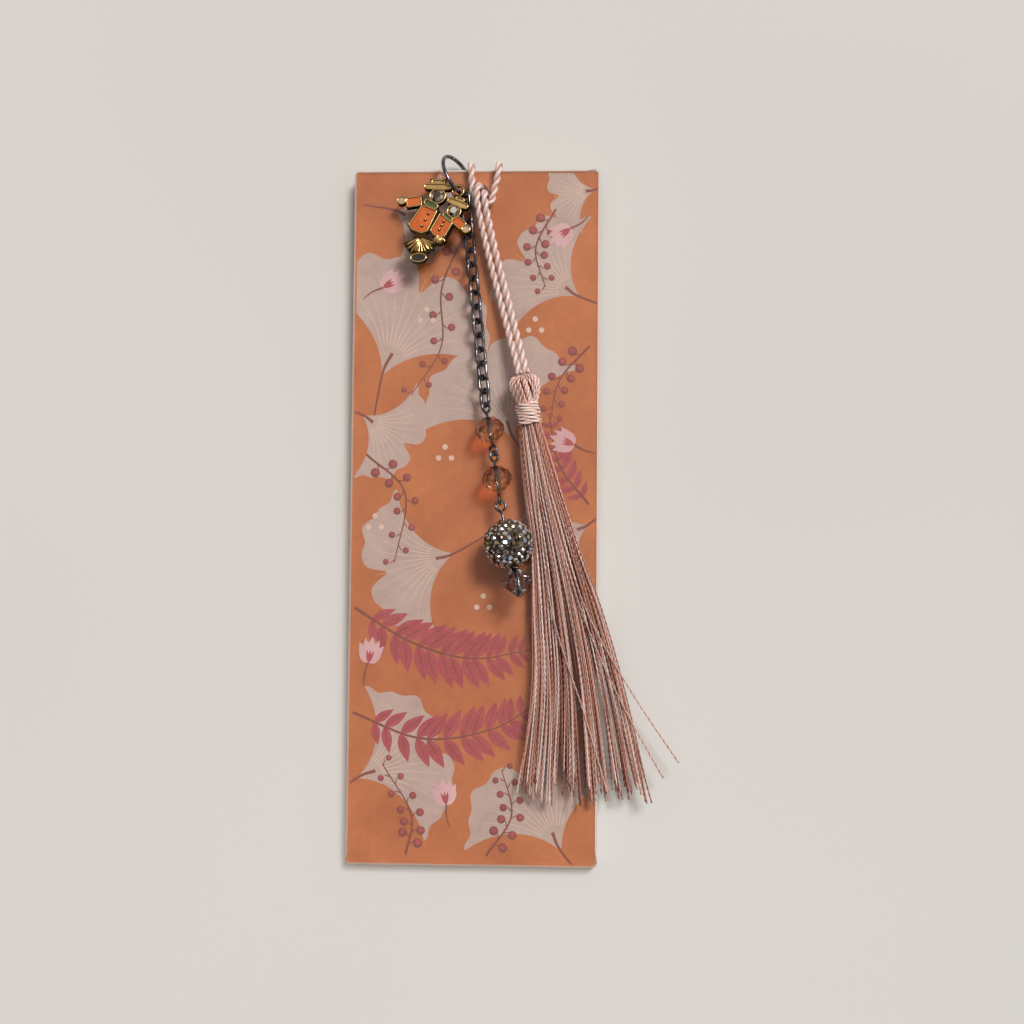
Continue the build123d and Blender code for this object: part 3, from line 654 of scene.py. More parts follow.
head = threadPiece("tasselHead", headPaths, headLook, silk, "tassel", rng.uniform(*headLook["tones"], count))
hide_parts("tassel_head")

# what the head's threads are folded over, seen only between them: it carries no tone, so it takes the
# threads' deepest red, as painted shade in the gaps
along, coreRadius = splineThrough(np.array(headLook["core"]), headLook["coreSteps"]).T
coreLine = tasselTop + along[:, None] * tasselAxis
coreTube = sweptTubes(coreLine[None], coreRadius[None], tasselLook["coreSides"])
shadedHeadCore = meshPiece("shadedHeadCore", *coreTube, silk, "tassel")

# neck: one thread wound in close, uneven turns, over a core of the bound threads, which carries no tone and
# so takes the threads' deepest red as painted shade; a row of its waves is (size, rate, shift)
wrapLook = {
    "turns": 6, "steps": 300, "start": 5.85, "spacing": 0.7, "radius": 2.06, "plies": 2, "plyOffset": 0.17,
    "plyRadius": 0.25, "pitch": 5.0, "sides": 10, "paintedFoldShade": 0.8, "tone": 0.82,
    "radiusWaves": [(0.03, 1.7, 0.0), (0.02, 0.6, 1.0)], "alongWaves": [(0.1, 0.83, 0.0), (0.07, 1.0, 0.5)],
    "core": (5.5, 9.7), "coreSteps": 6, "coreInset": 0.15,
}


def waves(rows, angle):  # the sum of size sin(rate angle + shift)
    return sum(size * np.sin(rate * angle + shift) for size, rate, shift in rows)


wind = np.linspace(0, wrapLook["turns"] * 2 * np.pi, wrapLook["steps"])
windRadius = wrapLook["radius"] * (1 + waves(wrapLook["radiusWaves"], wind))
windAlong = wrapLook["start"] + wrapLook["spacing"] * wind / (2 * np.pi) + waves(wrapLook["alongWaves"], wind)
windPath = np.stack([windAlong, windRadius * np.cos(wind), windRadius * np.sin(wind)], axis=1)
windPath = (tasselTop + windPath @ tasselAxes)[None]
wrap = threadPiece("neckWrap", windPath, wrapLook, silk, "tassel", [wrapLook["tone"]])
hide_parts("tassel_neck_wrap")
neckLine = tasselTop + np.linspace(*wrapLook["core"], wrapLook["coreSteps"])[:, None] * tasselAxis
neckTube = sweptTubes(neckLine[None], wrapLook["radius"] - wrapLook["coreInset"], tasselLook["coreSides"])
# the neck core takes the threads' deepest red as painted shade
shadedNeckCore = meshPiece("shadedNeckCore", *neckTube, silk, "tassel")

# skirt: a fan with stations down the slab of (y, left, right, height, half thickness). A thread keeps
# its place across and through the fan, wanders slowly, and gathers into its lock towards the tips
skirtLook = {
    "threads": 140, "steps": 190, "plies": 2, "plyOffset": 0.09, "plyRadius": 0.12, "pitch": 2.6, "sides": 3,
    "paintedFoldShade": 0.8, "locks": 24, "gather": 0.6, "lockDrift": 0.03, "drift": 0.05, "wander": 0.05, "edge": 0.97,
    "farthest": 1.03, "swayRate": (3, 9), "thinner": 0.25, "lockShort": 0.07, "shortest": 0.03,
    "tone": 0.68, "lockTone": 0.12, "threadTone": 0.18, "toneRange": (0.2, 1.0), "strayTone": 0.7,
    "backPaintedShade": 0.3,
    "stations": [
        (19.6, 9.4, 12.6, 5.95, 1.5), (15.6, 9.2, 14.1, 5.6, 1.9), (10.0, 9.5, 15.9, 5.2, 1.95),
        (2.0, 10.2, 18.3, 4.9, 1.6), (-8.0, 11.2, 21.5, 4.6, 1.3), (-22.0, 11.4, 26.5, 4.5, 1.15),
        (-38.0, 11.2, 31.0, 4.4, 1.1), (-58.0, 8.6, 35.8, 4.3, 1.0),
    ],
    "strays": [
        [(12.9, 14.0, 6.6), (16.6, 0.0, 5.9), (22.6, -19.0, 5.4), (31.5, -35.0, 4.9), (41.0, -49.0, 4.4)],
        [(12.6, 14.0, 6.8), (15.9, 0.0, 6.1), (22.0, -20.0, 5.6), (29.5, -37.0, 5.0), (38.0, -52.0, 4.5)],
        [(12.2, 14.0, 6.9), (13.2, 0.0, 6.2), (16.0, -20.0, 5.7), (22.5, -40.0, 5.3), (27.0, -55.0, 4.9)],
    ],
}
steps, count, locks = (skirtLook[key] for key in ("steps", "threads", "locks"))
down, leftEdge, rightEdge, lift, halfThickness = splineThrough(np.array(skirtLook["stations"]), steps).T
across = np.sort(rng.uniform(-skirtLook["edge"], skirtLook["edge"], count))
through = rng.uniform(-1, 1, count) * np.sqrt(1 - across ** 2)
fall = np.linspace(0, 1, steps)
sway = np.sin(fall * rng.uniform(*skirtLook["swayRate"], (count, 1)) + rng.uniform(0, 6.3, (count, 1)))
wander = skirtLook["wander"] * sway * fall
lock = np.arange(count) * locks // count
lockMiddle = np.array([across[lock == k].mean() for k in range(locks)])
lockMiddle = lockMiddle + rng.normal(0, skirtLook["lockDrift"], locks)
gather = skirtLook["gather"] * rng.random((count, 1)) ** 0.5 * fall ** 1.3
drift = rng.normal(0, skirtLook["drift"], (count, 1)) * fall ** 1.5
place = across[:, None] + (lockMiddle[lock] - across)[:, None] * gather + wander + drift
place = np.clip(place, -skirtLook["farthest"], skirtLook["farthest"])
lockEnds = skirtLook["lockShort"] * rng.random(locks)[lock]
ends = 1 - lockEnds[:, None] - skirtLook["shortest"] * rng.random((count, 1)) ** 2
threads = np.stack([
    (leftEdge + rightEdge) / 2 + place * (rightEdge - leftEdge) / 2,
    down[0] + (down - down[0]) * ends,
    lift + through[:, None] * halfThickness * (1 - skirtLook["thinner"] * fall),
], axis=-1)
strays = np.stack([splineThrough(np.array(keys), steps) for keys in skirtLook["strays"]])
tones = rng.normal(skirtLook["tone"], skirtLook["lockTone"], locks)[lock]
tones = np.clip(tones + rng.normal(0, skirtLook["threadTone"], count), *skirtLook["toneRange"])
front = through > 0
frontPaths = np.concatenate([threads[front], strays])
frontTones = np.r_[tones[front], [skirtLook["strayTone"]] * len(strays)]
# painted shade: the back threads are darkened where they lie under the front ones
shadedBackTones = tones[~front] - skirtLook["backPaintedShade"]
skirtFront = threadPiece("skirtFront", frontPaths, skirtLook, silk, "tassel", frontTones)
skirtBack = threadPiece("skirtBack", threads[~front], skirtLook, silk, "tassel", shadedBackTones)
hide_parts("tassel_skirt")
print("tassel made:", len(skirtFront.data.polygons) + len(skirtBack.data.polygons), "skirt faces")

# Slab: cast resin round a printed sheet
slabLook = {
    "width": 50.0, "length": 140.0, "thickness": 3.0, "corner": 1.0, "bevel": 0.4, "holeY": 65.0,
    "holeRadius": 2.48, "rays": 96, "cornerRays": 13, "cornerReach": 1.2,
}


def castResin():
    # clear casting resin: its broad faces polished and faintly wavy over the sheet, its edges
    # sanded, so that they frost to a pale line
    material, tree, shader = newMaterial("castResin", {"IOR": 1.5, "Base Color": hexColor("#FAF4EE")})
    lift = addNode(tree, "SeparateXYZ", "Z", {0: addNode(tree, "TexCoord", "Normal")})
    polish = addNode(tree, "Math", 0, {0: lift}, operation="ABSOLUTE")
    fromEdge = {"Value": polish, "From Min": 0.8, "From Max": 0.95}
    roughness = addNode(tree, "MapRange", "Result", {**fromEdge, "To Min": 0.28, "To Max": 0.05})
    clarity = addNode(tree, "MapRange", "Result", {**fromEdge, "To Min": 0.5, "To Max": 1.0})
    place = addNode(tree, "TexCoord", "Object")
    wave = addNode(tree, "TexNoise", "Fac", {"Vector": place, "Scale": 1 / (7 * mm), "Detail": 3.0})
    bump = addNode(tree, "Bump", "Normal", {"Height": wave, "Strength": 0.15, "Distance": 0.4 * mm})
    feed(tree, shader, {"Roughness": roughness, "Transmission Weight": clarity, "Normal": bump})
    return letLampsThrough(material, tree, shader, hexColor("#D2CECA"))


def printedPaper():
    # plain paper printed in terracotta: matt, with a slight mottle and the tooth of the sheet, which
    # is drawn coarser than it is, at 0.35 mm, so that it shows
    material, tree, shader = newMaterial("printedPaper", {"Roughness": 0.7})
    color = unevenColor(tree, 14.0, [(0.3, "#AE663B"), (0.7, "#CC814F")], 7.0, 0.75)[1]
    place = addNode(tree, "TexCoord", "Object")
    tooth = addNode(tree, "TexNoise", "Fac", {"Vector": place, "Scale": 1 / (0.35 * mm), "Detail": 3.0})
    bump = addNode(tree, "Bump", "Normal", {"Height": tooth, "Strength": 0.25, "Distance": 0.06 * mm})
    feed(tree, shader, {"Base Color": color, "Normal": bump})
    return material


def dress(node, material):  # a CAD node keeps its shape and gets a finish
    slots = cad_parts[node].data.materials
    slots.clear()
    slots.append(material)


def slabShell(look):
    # Rays from the middle of the hole to the slab's edge; a point past a corner's centre both ways is
    # drawn in to the corner's radius. Rows go from the hole over the top, down the edge and back below
    hole = np.array([0, look["holeY"]])
    half = np.array([look["width"], look["length"]]) / 2
    corners = half * [[1, 1], [-1, 1], [-1, -1], [1, -1]] - hole
    toCorner = np.arctan2(corners[:, 1], corners[:, 0])[:, None]
    turnsNear = look["corner"] / np.linalg.norm(corners, axis=1)[:, None]
    besideCorner = look["cornerReach"] * np.linspace(-1, 1, look["cornerRays"])
    allRound = np.linspace(-3.1, 3.13, look["rays"])  # no ray lies along an axis
    angles = np.concatenate([allRound, (toCorner + turnsNear * besideCorner).ravel()])
    ray = circle(np.sort(np.unique(np.angle(np.exp(1j * angles))))[::-1])

    def edge(inset):
        toSide = (np.sign(ray) * (half - inset) - hole) / ray
        flat = hole + ray * toSide.min(axis=1, keepdims=True)
        centre = np.clip(flat, -(half - look["corner"]), half - look["corner"])
        past = flat - centre
        rounded = (np.abs(past) > 1e-6).all(axis=1, keepdims=True)
        return np.where(rounded, centre + (look["corner"] - inset) * unit(past + 1e-12), flat)

    rim = hole + look["holeRadius"] * ray
    top, bevel = look["thickness"], look["bevel"]
    rows = [
        (rim, top), (edge(bevel), top), (edge(0), top - bevel), (edge(0), bevel), (edge(bevel), 0), (rim, 0),
    ]
    points = np.stack([atHeight(flat, height) for flat, height in rows])
    return points, gridFaces(gridIndex(points), True, True)


slabResin = meshPiece("castSlab", *slabShell(slabLook), castResin(), "slab", False)
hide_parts("base_slab", "clear_coat")
dress("printed_sheet", printedPaper())


# The sheet's print: ginkgo fans, fern fronds, berry twigs, bell buds and dots. Angles are in degrees
def ink(name, deep, pale, grain):  # a printed colour, a little uneven
    material, tree, shader = newMaterial(name, {"Roughness": 0.65})
    color = unevenColor(tree, grain, [(0.3, deep), (0.7, pale)], 6.0, 0.75)[1]
    feed(tree, shader, {"Base Color": color})
    return material


inks = {
    "mauve": ink("mauveInk", "#B5A09A", "#C6B3AC", 5.0),
    "crimson": ink("crimsonInk", "#A2444B", "#BA5A60", 3.0),
    "brown": ink("brownInk", "#7D463C", "#90554A", 3.0),
    "blush": ink("blushInk", "#CFA4AB", "#DDBBBF", 4.0),
    "cream": ink("creamInk", "#D6BCA9", "#E2CCBC", 4.0),
}
printLook = {
    "halfWidth": 24.4, "halfLength": 69.4, "sheetTop": 1.6, "film": 0.001, "holeMargin": 0.2, "stemSteps": 40,
    "leafSteps": 15, "discSteps": 25, "discRows": 4, "middle": 0.02,
    "fans": [  # base, angle, radius
        ((-19, 28), 66, 25), ((8, 15), 112, 21), ((-4, -8), 196, 19), ((21, 44), 146, 18),
        ((-17, 62), -24, 13), ((18, -67), 116, 21), ((-23, -53), 22, 20), ((23, -2), 205, 13),
        ((24, 66), 190, 10), ((-23, 20), -34, 14),
    ],
    "fronds": [  # line, pairs of leaflets, length
        ([(-24, -19), (-12, -26), (0, -29), (12, -27)], 15, 7.4),
        ([(-24, -40), (-10, -45), (4, -43), (14, -37)], 14, 6.8),
        ([(23, 2), (17, 10), (15, 20)], 9, 4.6),
    ],
    "twigs": [
        [(-2, 58), (-7, 46), (-7, 34), (-13, 24)], [(23, 34), (17, 27), (15, 18)],
        [(-22, 12), (-14, 4), (-16, -10)], [(3, -68), (8, -60), (6, -51)],
        [(-13, -68), (-12, -60), (-18, -50)], [(16, 62), (12, 54), (14, 46)],
    ],
    "buds": [  # base, angle
        ((16, -15), 70), ((-19, 46), 30), ((19, 58), 215), ((-5, -58), 100), ((20, 14), 160),
        ((-21, -30), 80),
    ],
    "dots": [(12, 38), (-20, -2), (14, -48), (-6, 12), (21, -40), (2, -18), (-10, 40)],
}
fanLook = {
    "spread": 64, "steps": 81, "rows": 11, "flatness": 0.22, "drawnIn": 0.65, "notch": 0.3,
    "notchWidth": 0.09, "veins": 11, "veinSpread": 50, "veinSteps": 24, "veinFrom": 0.26, "veinTo": 0.86,
    "veinHalf": 0.09, "stalkFrom": 0.2, "stalk": 0.5, "stalkTurn": 14, "stalkWidth": 0.7,
}
frondLook = {
    "stem": 0.55, "first": 4, "last": 39, "leafTurn": 56, "leafWidth": 0.19, "ribLength": 0.85,
    "ribWidth": 0.02,
}
twigLook = {  # stalk is (length, half width); skin and blush are a berry's (first, last) radius
    "stem": 0.45, "berries": 11, "first": 5, "last": 38, "away": 1.75, "ahead": 0.8, "stalk": (1.5, 0.12),
    "skin": (0.95, 0.6), "blush": (0.55, 0.34), "blushShift": (0.12, 0.16),
}
budLook = {  # stemBend is (distance, turn); petal and streak are (length, half width)
    "stem": 0.4, "stemBend": (2.4, -8), "stemLength": 4.6, "petals": (-34, 34, -17, 17, 0),
    "petal": (5.4, 1.15), "petalPoint": 0.62, "streaks": (-16, 16, 0), "streak": (2.6, 0.3),
}
dotLook = {"apart": 1.5, "radius": 0.55}
motifs = []  # (colour, strips) in the order printed


def onSheet(flat, order):  # points held inside the sheet and out of its hole, each film over the last
    half = np.array([printLook["halfWidth"], printLook["halfLength"]])
    flat = np.clip(flat, -half, half)
    hole = np.array([0, slabLook["holeY"]])
    clear = slabLook["holeRadius"] + printLook["holeMargin"]
    fromHole = flat - hole
    distance = np.maximum(np.linalg.norm(fromHole, axis=-1, keepdims=True), 1e-6)
    flat = np.where(distance < clear, hole + fromHole / distance * clear, flat)
    return atHeight(flat, printLook["sheetTop"] + printLook["film"] * (order + 1))


def turned(flat, angle):  # flat (strips, rows, columns, 2) turned by each strip's angle
    angle = np.radians(np.asarray(angle, float)).reshape(-1, 1, 1, 1)
    x, y, cosine, sine = flat[..., :1], flat[..., 1:], np.cos(angle), np.sin(angle)
    return np.concatenate([x * cosine - y * sine, x * sine + y * cosine], axis=-1)


def leaves(bases, angles, lengths, widths, point=0.8):
    # A leaf along x: half width w sin(pi s^point), from its base to its tip
    s = np.linspace(0, 1, printLook["leafSteps"])[:, None]
    lengths, widths = (np.asarray(v, float).reshape(-1, 1, 1) for v in (lengths, widths))
    across = widths * np.sin(np.pi * s ** point) * [1.0, 0.0, -1.0]
    leaf = np.stack(np.broadcast_arrays(lengths * s, across), axis=-1)
    return turned(leaf, angles) + np.asarray(bases, float).reshape(-1, 1, 1, 2)


def fanReach(around):  # a fan's edge is a little nearer at its sides
    return 1 - fanLook["flatness"] + fanLook["flatness"] * np.cos(around)


def fanBend(around, out):  # the sides are drawn in near the stalk
    return around * (1 - fanLook["drawnIn"] + fanLook["drawnIn"] * out)


def ginkgo(base, angle, radius):
    # A fan: radius R with small waves and a notch in the middle, its sides drawn in to the stalk
    around = np.radians(np.linspace(fanLook["spread"], -fanLook["spread"], fanLook["steps"]))
    wavy = 1 + 0.03 * np.cos(11 * around) + 0.02 * np.cos(23 * around)
    notched = 1 - fanLook["notch"] * np.exp(-(around / fanLook["notchWidth"]) ** 2)
    edge = radius * wavy * fanReach(around) * notched
    out = np.linspace(printLook["middle"], 1, fanLook["rows"])[:, None]
    fan = (out * edge)[..., None] * circle(fanBend(around, out))
    return turned(fan[None], angle) + np.asarray(base)


def ginkgoVeins(base, angle, radius):
    # Lines from near the stalk towards the edge, spreading as the fan does and growing finer
    out = np.linspace(fanLook["veinFrom"], fanLook["veinTo"], fanLook["veinSteps"])[:, None]
    spread = np.linspace(fanLook["veinSpread"], -fanLook["veinSpread"], fanLook["veins"])
    spread = np.radians(spread)[:, None, None]
    distance = out * radius * fanReach(spread)
    half = fanLook["veinHalf"] * np.array([1, -1]) * (1.15 - out) / distance
    veins = distance[..., None] * circle(fanBend(spread, out) + half)
    return turned(veins, angle) + np.asarray(base)


def stem(points, width):  # a line through the points that tapers to 0.45 of its width, and the line itself
    line = splineThrough(np.array(points, float), printLook["stemSteps"])
    ahead = unit(np.gradient(line, axis=0))
    taper = width * np.linspace(1, 0.45, len(line))[:, None]
    across = np.stack([-ahead[:, 1], ahead[:, 0]], axis=1) * taper / 2
    return np.stack([line + across, line - across], axis=1)[None], line


def discs(centres, radii):  # rings out from near the middle
    out = np.linspace(printLook["middle"], 1, printLook["discRows"])[:, None, None]
    disc = out * circle(np.linspace(2 * np.pi, 0, printLook["discSteps"]))
    return np.asarray(radii).reshape(-1, 1, 1, 1) * disc + np.asarray(centres, float).reshape(-1, 1, 1, 2)


def toward(angle):  # a step of 1 at an angle
    return circle(np.radians(angle))


for base, angle, radius in printLook["fans"]:
    stalkStart = base + fanLook["stalkFrom"] * radius * toward(angle)
    stalkEnd = base - fanLook["stalk"] * radius * toward(angle + fanLook["stalkTurn"])
    motifs.append(("mauve", ginkgo(base, angle, radius)))
    motifs.append(("cream", ginkgoVeins(base, angle, radius)))
    motifs.append(("brown", stem([stalkStart, base, stalkEnd], fanLook["stalkWidth"])[0]))

for points, pairs, length in printLook["fronds"]:
    strip, line = stem(points, frondLook["stem"])
    at = np.linspace(frondLook["first"], frondLook["last"], pairs).astype(int)
    ahead = np.degrees(np.arctan2(*np.gradient(line, axis=0)[at].T[::-1]))
    size = length * np.sin(np.pi * np.linspace(0.2, 0.96, pairs)) ** 0.7  # longest below the middle
    for side in (1, -1):
        for every in (slice(0, None, 2), slice(1, None, 2)):  # neighbours lap, so they are printed apart
            leafAt = (line[at][every], ahead[every] + side * frondLook["leafTurn"])
            rib = (size[every] * frondLook["ribLength"], size[every] * frondLook["ribWidth"])
            motifs.append(("crimson", leaves(*leafAt, size[every], size[every] * frondLook["leafWidth"])))
            motifs.append(("brown", leaves(*leafAt, *rib)))
    motifs.append(("brown", strip))

for points in printLook["twigs"]:
    strip, line = stem(points, twigLook["stem"])
    count = twigLook["berries"]
    at = np.linspace(twigLook["first"], twigLook["last"], count).astype(int)
    ahead = unit(np.gradient(line, axis=0))[at]
    side = np.where(np.arange(count) % 2, 1, -1)[:, None] * np.stack([-ahead[:, 1], ahead[:, 0]], axis=1)
    berries = line[at] + twigLook["away"] * side + twigLook["ahead"] * ahead
    stalkAngle = np.degrees(np.arctan2(*(0.9 * side + ahead).T[::-1]))
    stalkLength, stalkWidth = (np.full(count, v) for v in twigLook["stalk"])
    motifs.append(("brown", strip))
    motifs.append(("brown", leaves(line[at], stalkAngle, stalkLength, stalkWidth)))
    skin, blush = (np.linspace(*twigLook[key], count) for key in ("skin", "blush"))
    motifs.append(("brown", discs(berries, skin)))
    motifs.append(("crimson", discs(berries + twigLook["blushShift"], blush)))

for base, angle in printLook["buds"]:
    bendAway, bendTurn = budLook["stemBend"]
    stemBend = base - bendAway * toward(angle + bendTurn)
    stemEnd = base - budLook["stemLength"] * toward(angle)
    motifs.append(("brown", stem([base, stemBend, stemEnd], budLook["stem"])[0]))
    length, width = budLook["petal"]
    for petal in budLook["petals"]:  # the outer ones are a little shorter
        petalLength = length - abs(petal) / 40
        petalShape = leaves([base], [angle + petal], [petalLength], [width], budLook["petalPoint"])
        motifs.append(("blush", petalShape))
    length, width = budLook["streak"]
    for streak in budLook["streaks"]:
        motifs.append(("crimson", leaves([base], [angle + streak], [length], [width])))
for centre in printLook["dots"]:
    spots = centre + dotLook["apart"] * toward(np.array([90, 210, 330]))
    motifs.append(("cream", discs(spots, [dotLook["radius"]] * len(spots))))

for colour, material in inks.items():
    parts = []
    for order, (printedIn, strips) in enumerate(motifs):
        if printedIn == colour:
            parts.append((onSheet(strips, order), gridFaces(gridIndex(strips))))
    film = meshPiece(f"print{colour.capitalize()}", *joined(parts), material, "slab", False)
print("print made:", len(motifs), "films")

# Charm: a gilt casting with soft enamel in its cells, two cut stones and sheaves of straw
charmLook = {
    "onRing": 45.0, "lean": (0.12, -0.1, 0.0), "slopeX": 0.10, "slopeY": -0.185, "top": 0.55,
    "heads": [((-4.1, -1.1), 1.4), ((-0.6, -4.5), 1.2)], "headCut": (0.97, 0.56, 0.36, 0.12), "cutSides": 10,
    "sheaves": [  # knot, from and to angle, stalks, length
        ((-7.2, -10.2), 200, 340, 15, 3.5), ((-3.4, -9.6), 228, 312, 8, 2.0),
    ],
    "straw": (0.209, 0.152), "strawSides": 7, "strawSteps": 12, "strawFrom": 0.08, "strawTurn": 4,
    "strawReach": (0.8, 1.02), "strawLift": 0.05, "strawArch": (0.05, 0.35), "headSparkle": (0.1, 0.95),
    "rim": 0.17, "rimSteps": 72, "rimSides": 8,
    "button": 0.33, "buttonCut": (0.132, 0.231, 0.1), "buttonTop": 0.67, "bail": 1.15, "bailTop": 0.24,
    "cells": [  # x, y, angle, length, width, squareness
        (-8.9, -2.2, 8, 2.95, 1.95, 9), (0.5, -7.0, -43, 2.55, 1.75, 9),
        (-4.2, 0.95, -4, 5.35, 1.15, 4), (0.1, -2.85, -24, 4.35, 1.1, 4),
        (-4.1, 1.97, 0, 2.6, 0.86, 4), (0.53, -1.98, -24, 1.8, 0.6, 4),
        (-5.4, -2.85, -28, 2.95, 1.15, 4), (-1.83, -5.67, -40, 2.15, 0.85, 4),
        (-11.5, -1.8, 0, 1.65, 1.65, 2), (2.0, -8.4, 0, 1.6, 1.6, 2), (-7.4, -14.3, 0, 3.05, 1.75, 2),
        (-4.1, -1.1, 0, 3.15, 3.15, 2), (-0.6, -4.5, 0, 2.75, 2.75, 2),
    ],
    "coats": [
        [(-7.1, -3.0), (-9.7, -7.1), (-9.0, -8.2), (-7.1, -9.0), (-5.9, -8.6), (-4.1, -4.35)],
        [(-3.4, -5.0), (-5.2, -8.5), (-4.4, -9.6), (-2.3, -9.9), (-0.9, -7.1)],
    ],
    "buttons": [(-5.8, -4.9), (-6.4, -6.2), (-7.0, -7.5), (-2.5, -6.6), (-2.95, -7.5), (-3.4, -8.4)],
}
charmOrigin = onRing(charmLook["onRing"]) + charmLook["lean"]
charmUp = unit(np.array([-charmLook["slopeX"], -charmLook["slopeY"], 1.0]))
charmRight = unit(np.array([1.0, 0.0, charmLook["slopeX"]]))
charmAxes = np.stack([charmRight, np.cross(charmUp, charmRight), charmUp])


def gilded(name, stops, roughness):
    # gold-tone casting: its colour turns from the wall's to the crest's as the surface comes to face up,
    # partly the casting's blackening and partly painted shade on the walls and a painted highlight on the
    # crests
    material, tree, shader = newMaterial(name, {"Metallic": 1.0, "Roughness": roughness})
    normal = addNode(tree, "TexCoord", "Normal")
    upright = {0: normal, 1: charmUp.tolist()}
    facing = addNode(tree, "VectorMath", "Value", upright, operation="DOT_PRODUCT")
    feed(tree, shader, {"Base Color": addNode(tree, "ValToRGB", "Color", {"Fac": facing}, stops)})
    return material


def softEnamel(name, deep, pale):
    # enamel fired in a cell: glassy, slightly uneven in depth
    finish = {"Roughness": 0.12, "Coat Weight": 0.6, "Coat Roughness": 0.03}
    material, tree, shader = newMaterial(name, finish)
    feed(tree, shader, {"Base Color": unevenColor(tree, 2.5, [(0.3, deep), (0.7, pale)], 2.0)[1]})
    return material


# rims and straw: near-black walls as painted shade and bright gold crests as painted highlight; the casting:
# blackened, its walls darkest as painted shade
gilt = gilded("rubbedGiltPaintedLight", [(0.3, "#1A130D"), (0.6, "#8A6034"), (0.85, "#E9BC7C")], 0.2)
dress("charm_casting", gilded("blackenedGiltPaintedShade", [(0.3, "#14100C"), (0.95, "#4D3A20")], 0.35))
enamels = {
    "coat": ("orangeEnamel", "#BF5312", "#D8691F"), "hat": ("strawEnamel", "#A98446", "#C7A160"),
    "scarf": ("greenEnamel", "#384A26", "#4B6034"), "hand": ("peachEnamel", "#B99273", "#CFAC8E"),
    "foot": ("blackEnamel", "#120F0E", "#26201D"),
}
for cell, colors in enamels.items():
    dress(f"charm_{cell}_enamel", softEnamel(*colors))

headParts = []
for (x, y), radius in charmLook["heads"]:
    girdle, table, crown, depth = radius * np.array(charmLook["headCut"])
    cut = brilliant(charmLook["cutSides"], girdle, table, crown, depth)
    seat = charmOrigin + np.array([x, y, charmLook["top"] + depth]) @ charmAxes
    headParts.append(setStones(cut, seat[None], charmUp[None]))
points, faces = joined(headParts)
charmStones = meshPiece("charmStones", points, faces, rhinestone, "charm", False)
# painted sparkle: each facet bright or dark at random, as painted reflection
paint(charmStones, "paintedSparkle", rng.uniform(*charmLook["headSparkle"], len(faces)), "FACE")
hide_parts("charm_stones")

# straw: stalks fanning from each knot, arched a little off the casting
strawPaths = []
along = np.linspace(charmLook["strawFrom"], 1, charmLook["strawSteps"])
for knot, start, stop, stalks, length in charmLook["sheaves"]:
    aside = rng.uniform(-charmLook["strawTurn"], charmLook["strawTurn"], stalks)
    angle = np.radians(np.linspace(start, stop, stalks) + aside)[:, None]
    reach = along * length * rng.uniform(*charmLook["strawReach"], (stalks, 1))
    arch = rng.uniform(*charmLook["strawArch"], (stalks, 1)) * np.sin(np.pi * along)
    rise = charmLook["top"] + charmLook["strawLift"] + arch
    flat = np.array(knot) + reach[..., None] * circle(angle)
    strawPaths.append(np.concatenate([flat, rise[..., None]], axis=-1))
strawPaths = charmOrigin + np.concatenate(strawPaths) @ charmAxes
strawRadius = np.linspace(*charmLook["straw"], charmLook["strawSteps"])
points, faces = sweptTubes(strawPaths, strawRadius, charmLook["strawSides"])
straw = meshPiece("charmStraw", points, faces, gilt, "charm")

# rims: round beads of metal along each cell's edge; a cell is a superellipse
# (|cos|^(2/n), |sin|^(2/n)) of its squareness n, or a coat's own outline
turn = np.linspace(0, 2 * np.pi, charmLook["rimSteps"], endpoint=False)
rims = []
for x, y, angle, length, width, squareness in charmLook["cells"]:
    box = np.sign(circle(turn)) * np.abs(circle(turn)) ** (2 / squareness) * [length / 2, width / 2]
    rims.append([x, y] + turned(box[None, None], angle)[0, 0])
for coat in charmLook["coats"]:
    rims.append(evenPoints(np.array(coat + coat[:1]), charmLook["rimSteps"], endpoint=False))
rims = atHeight(np.stack(rims), charmLook["top"])
bail = atHeight(charmLook["bail"] * circle(turn), charmLook["bailTop"])
rimPaths = charmOrigin + np.concatenate([rims, bail[None]]) @ charmAxes
rimTubes = sweptTubes(rimPaths, charmLook["rim"], charmLook["rimSides"], closed=True)
buttons = charmOrigin + atHeight(charmLook["buttons"], charmLook["buttonTop"]) @ charmAxes
stud = brilliant(charmLook["cutSides"], charmLook["button"], *charmLook["buttonCut"])
studs = setStones(stud, buttons, np.tile(charmUp, (len(buttons), 1)))
charmRims = meshPiece("charmRims", *joined([rimTubes, studs]), gilt, "charm")
print("charm dressed")

# Stage: a pale floor, tipped so that the slab's foot and the cord behind its hole both touch it
floorLook = {"size": 12000.0, "underCord": 1.95, "cordY": 69.0, "footY": -70.0}


def paleCard():
    # plain card: matt, with clouds of tone too faint to notice
    material, tree, shader = newMaterial("paleCard", {"Roughness": 0.85})
    feed(tree, shader, {"Base Color": unevenColor(tree, 250.0, [(0.3, "#D6D1CB"), (0.7, "#DBD7D2")], 2.0)[1]})
    return material


tip = floorLook["underCord"] / (floorLook["cordY"] - floorLook["footY"])
corners = floorLook["size"] / 2 * np.array([(-1, -1), (1, -1), (1, 1), (-1, 1)])
floorPoints = np.c_[corners, -tip * (corners[:, 1] - floorLook["footY"])]
floor = meshPiece("floor", floorPoints, [[0, 1, 2, 3]], paleCard(), None, False)

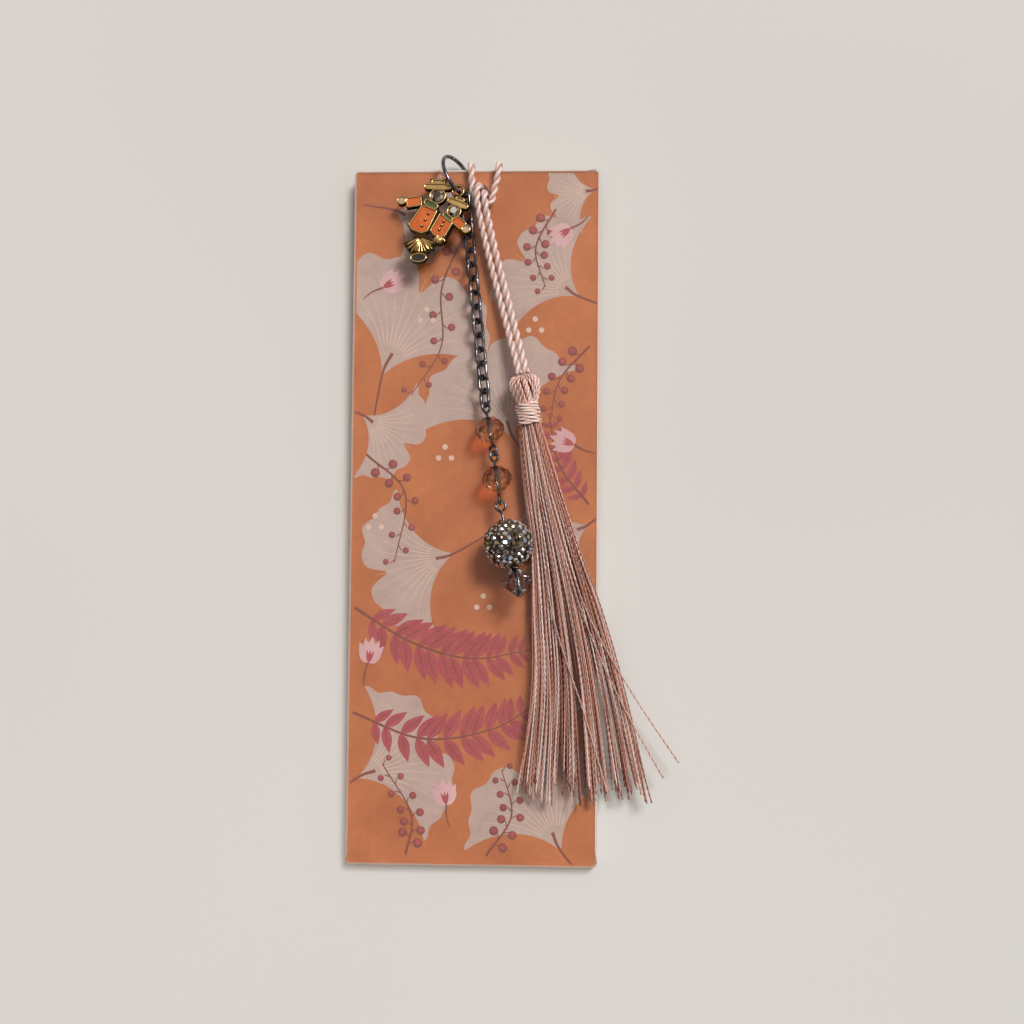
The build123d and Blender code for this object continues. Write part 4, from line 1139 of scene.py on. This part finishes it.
# the world is a soft dome, brightest on the key's side, with a pale wall along its horizon for the
# rays that are seen, straight or in metal and glass
worldLook = {
    "color": "#F1EEEA", "towards": (0.35, 0.45, 0.82), "low": 0.04, "high": 0.7, "wall": 0.75,
    "wallTop": 0.12, "wallFull": 0.04,
}
world = bpy.data.worlds.new("studio")
world.use_nodes = True
tree = world.node_tree
outlook = addNode(tree, "TexCoord", "Generated")
bright = {0: outlook, 1: worldLook["towards"]}
facing = addNode(tree, "VectorMath", "Value", bright, operation="DOT_PRODUCT")
domeRange = {"From Min": -0.1, "From Max": 0.95, "To Min": worldLook["low"], "To Max": worldLook["high"]}
dome = addNode(tree, "MapRange", "Result", {"Value": facing, **domeRange})
lift = addNode(tree, "SeparateXYZ", "Z", {0: outlook})
wallRange = {"From Min": worldLook["wallTop"], "From Max": worldLook["wallFull"]}
horizon = addNode(tree, "MapRange", "Result", {"Value": lift, **wallRange})
rays = addNode(tree, "LightPath", "Is Camera Ray").node.outputs
straightOrMetal = {0: rays["Is Camera Ray"], 1: rays["Is Glossy Ray"]}
seen = addNode(tree, "Math", 0, straightOrMetal, operation="MAXIMUM")
seen = addNode(tree, "Math", 0, {0: seen, 1: rays["Is Transmission Ray"]}, operation="MAXIMUM")
share = addNode(tree, "Math", 0, {0: horizon, 1: seen}, operation="MULTIPLY")
strength = addNode(tree, "MapRange", "Result", {"Value": share, "To Min": dome, "To Max": worldLook["wall"]})
feed(tree, tree.nodes["Background"], {"Color": hexColor(worldLook["color"]), "Strength": strength})
bpy.context.scene.world = world

# the key is a broad far lamp, so the floor is as bright far off as near
keyLook = {"from": (0.38, 0.46, 0.8), "strength": 2.3, "width": 18.0}
keyLight = bpy.data.lights.new("key", "SUN")
keyLight.energy = keyLook["strength"]
keyLight.angle = np.radians(keyLook["width"])
key = bpy.data.objects.new("key", keyLight)
key.rotation_euler = Vector(keyLook["from"]).to_track_quat("Z", "Y").to_euler()
bpy.context.collection.objects.link(key)
print("stage lit")
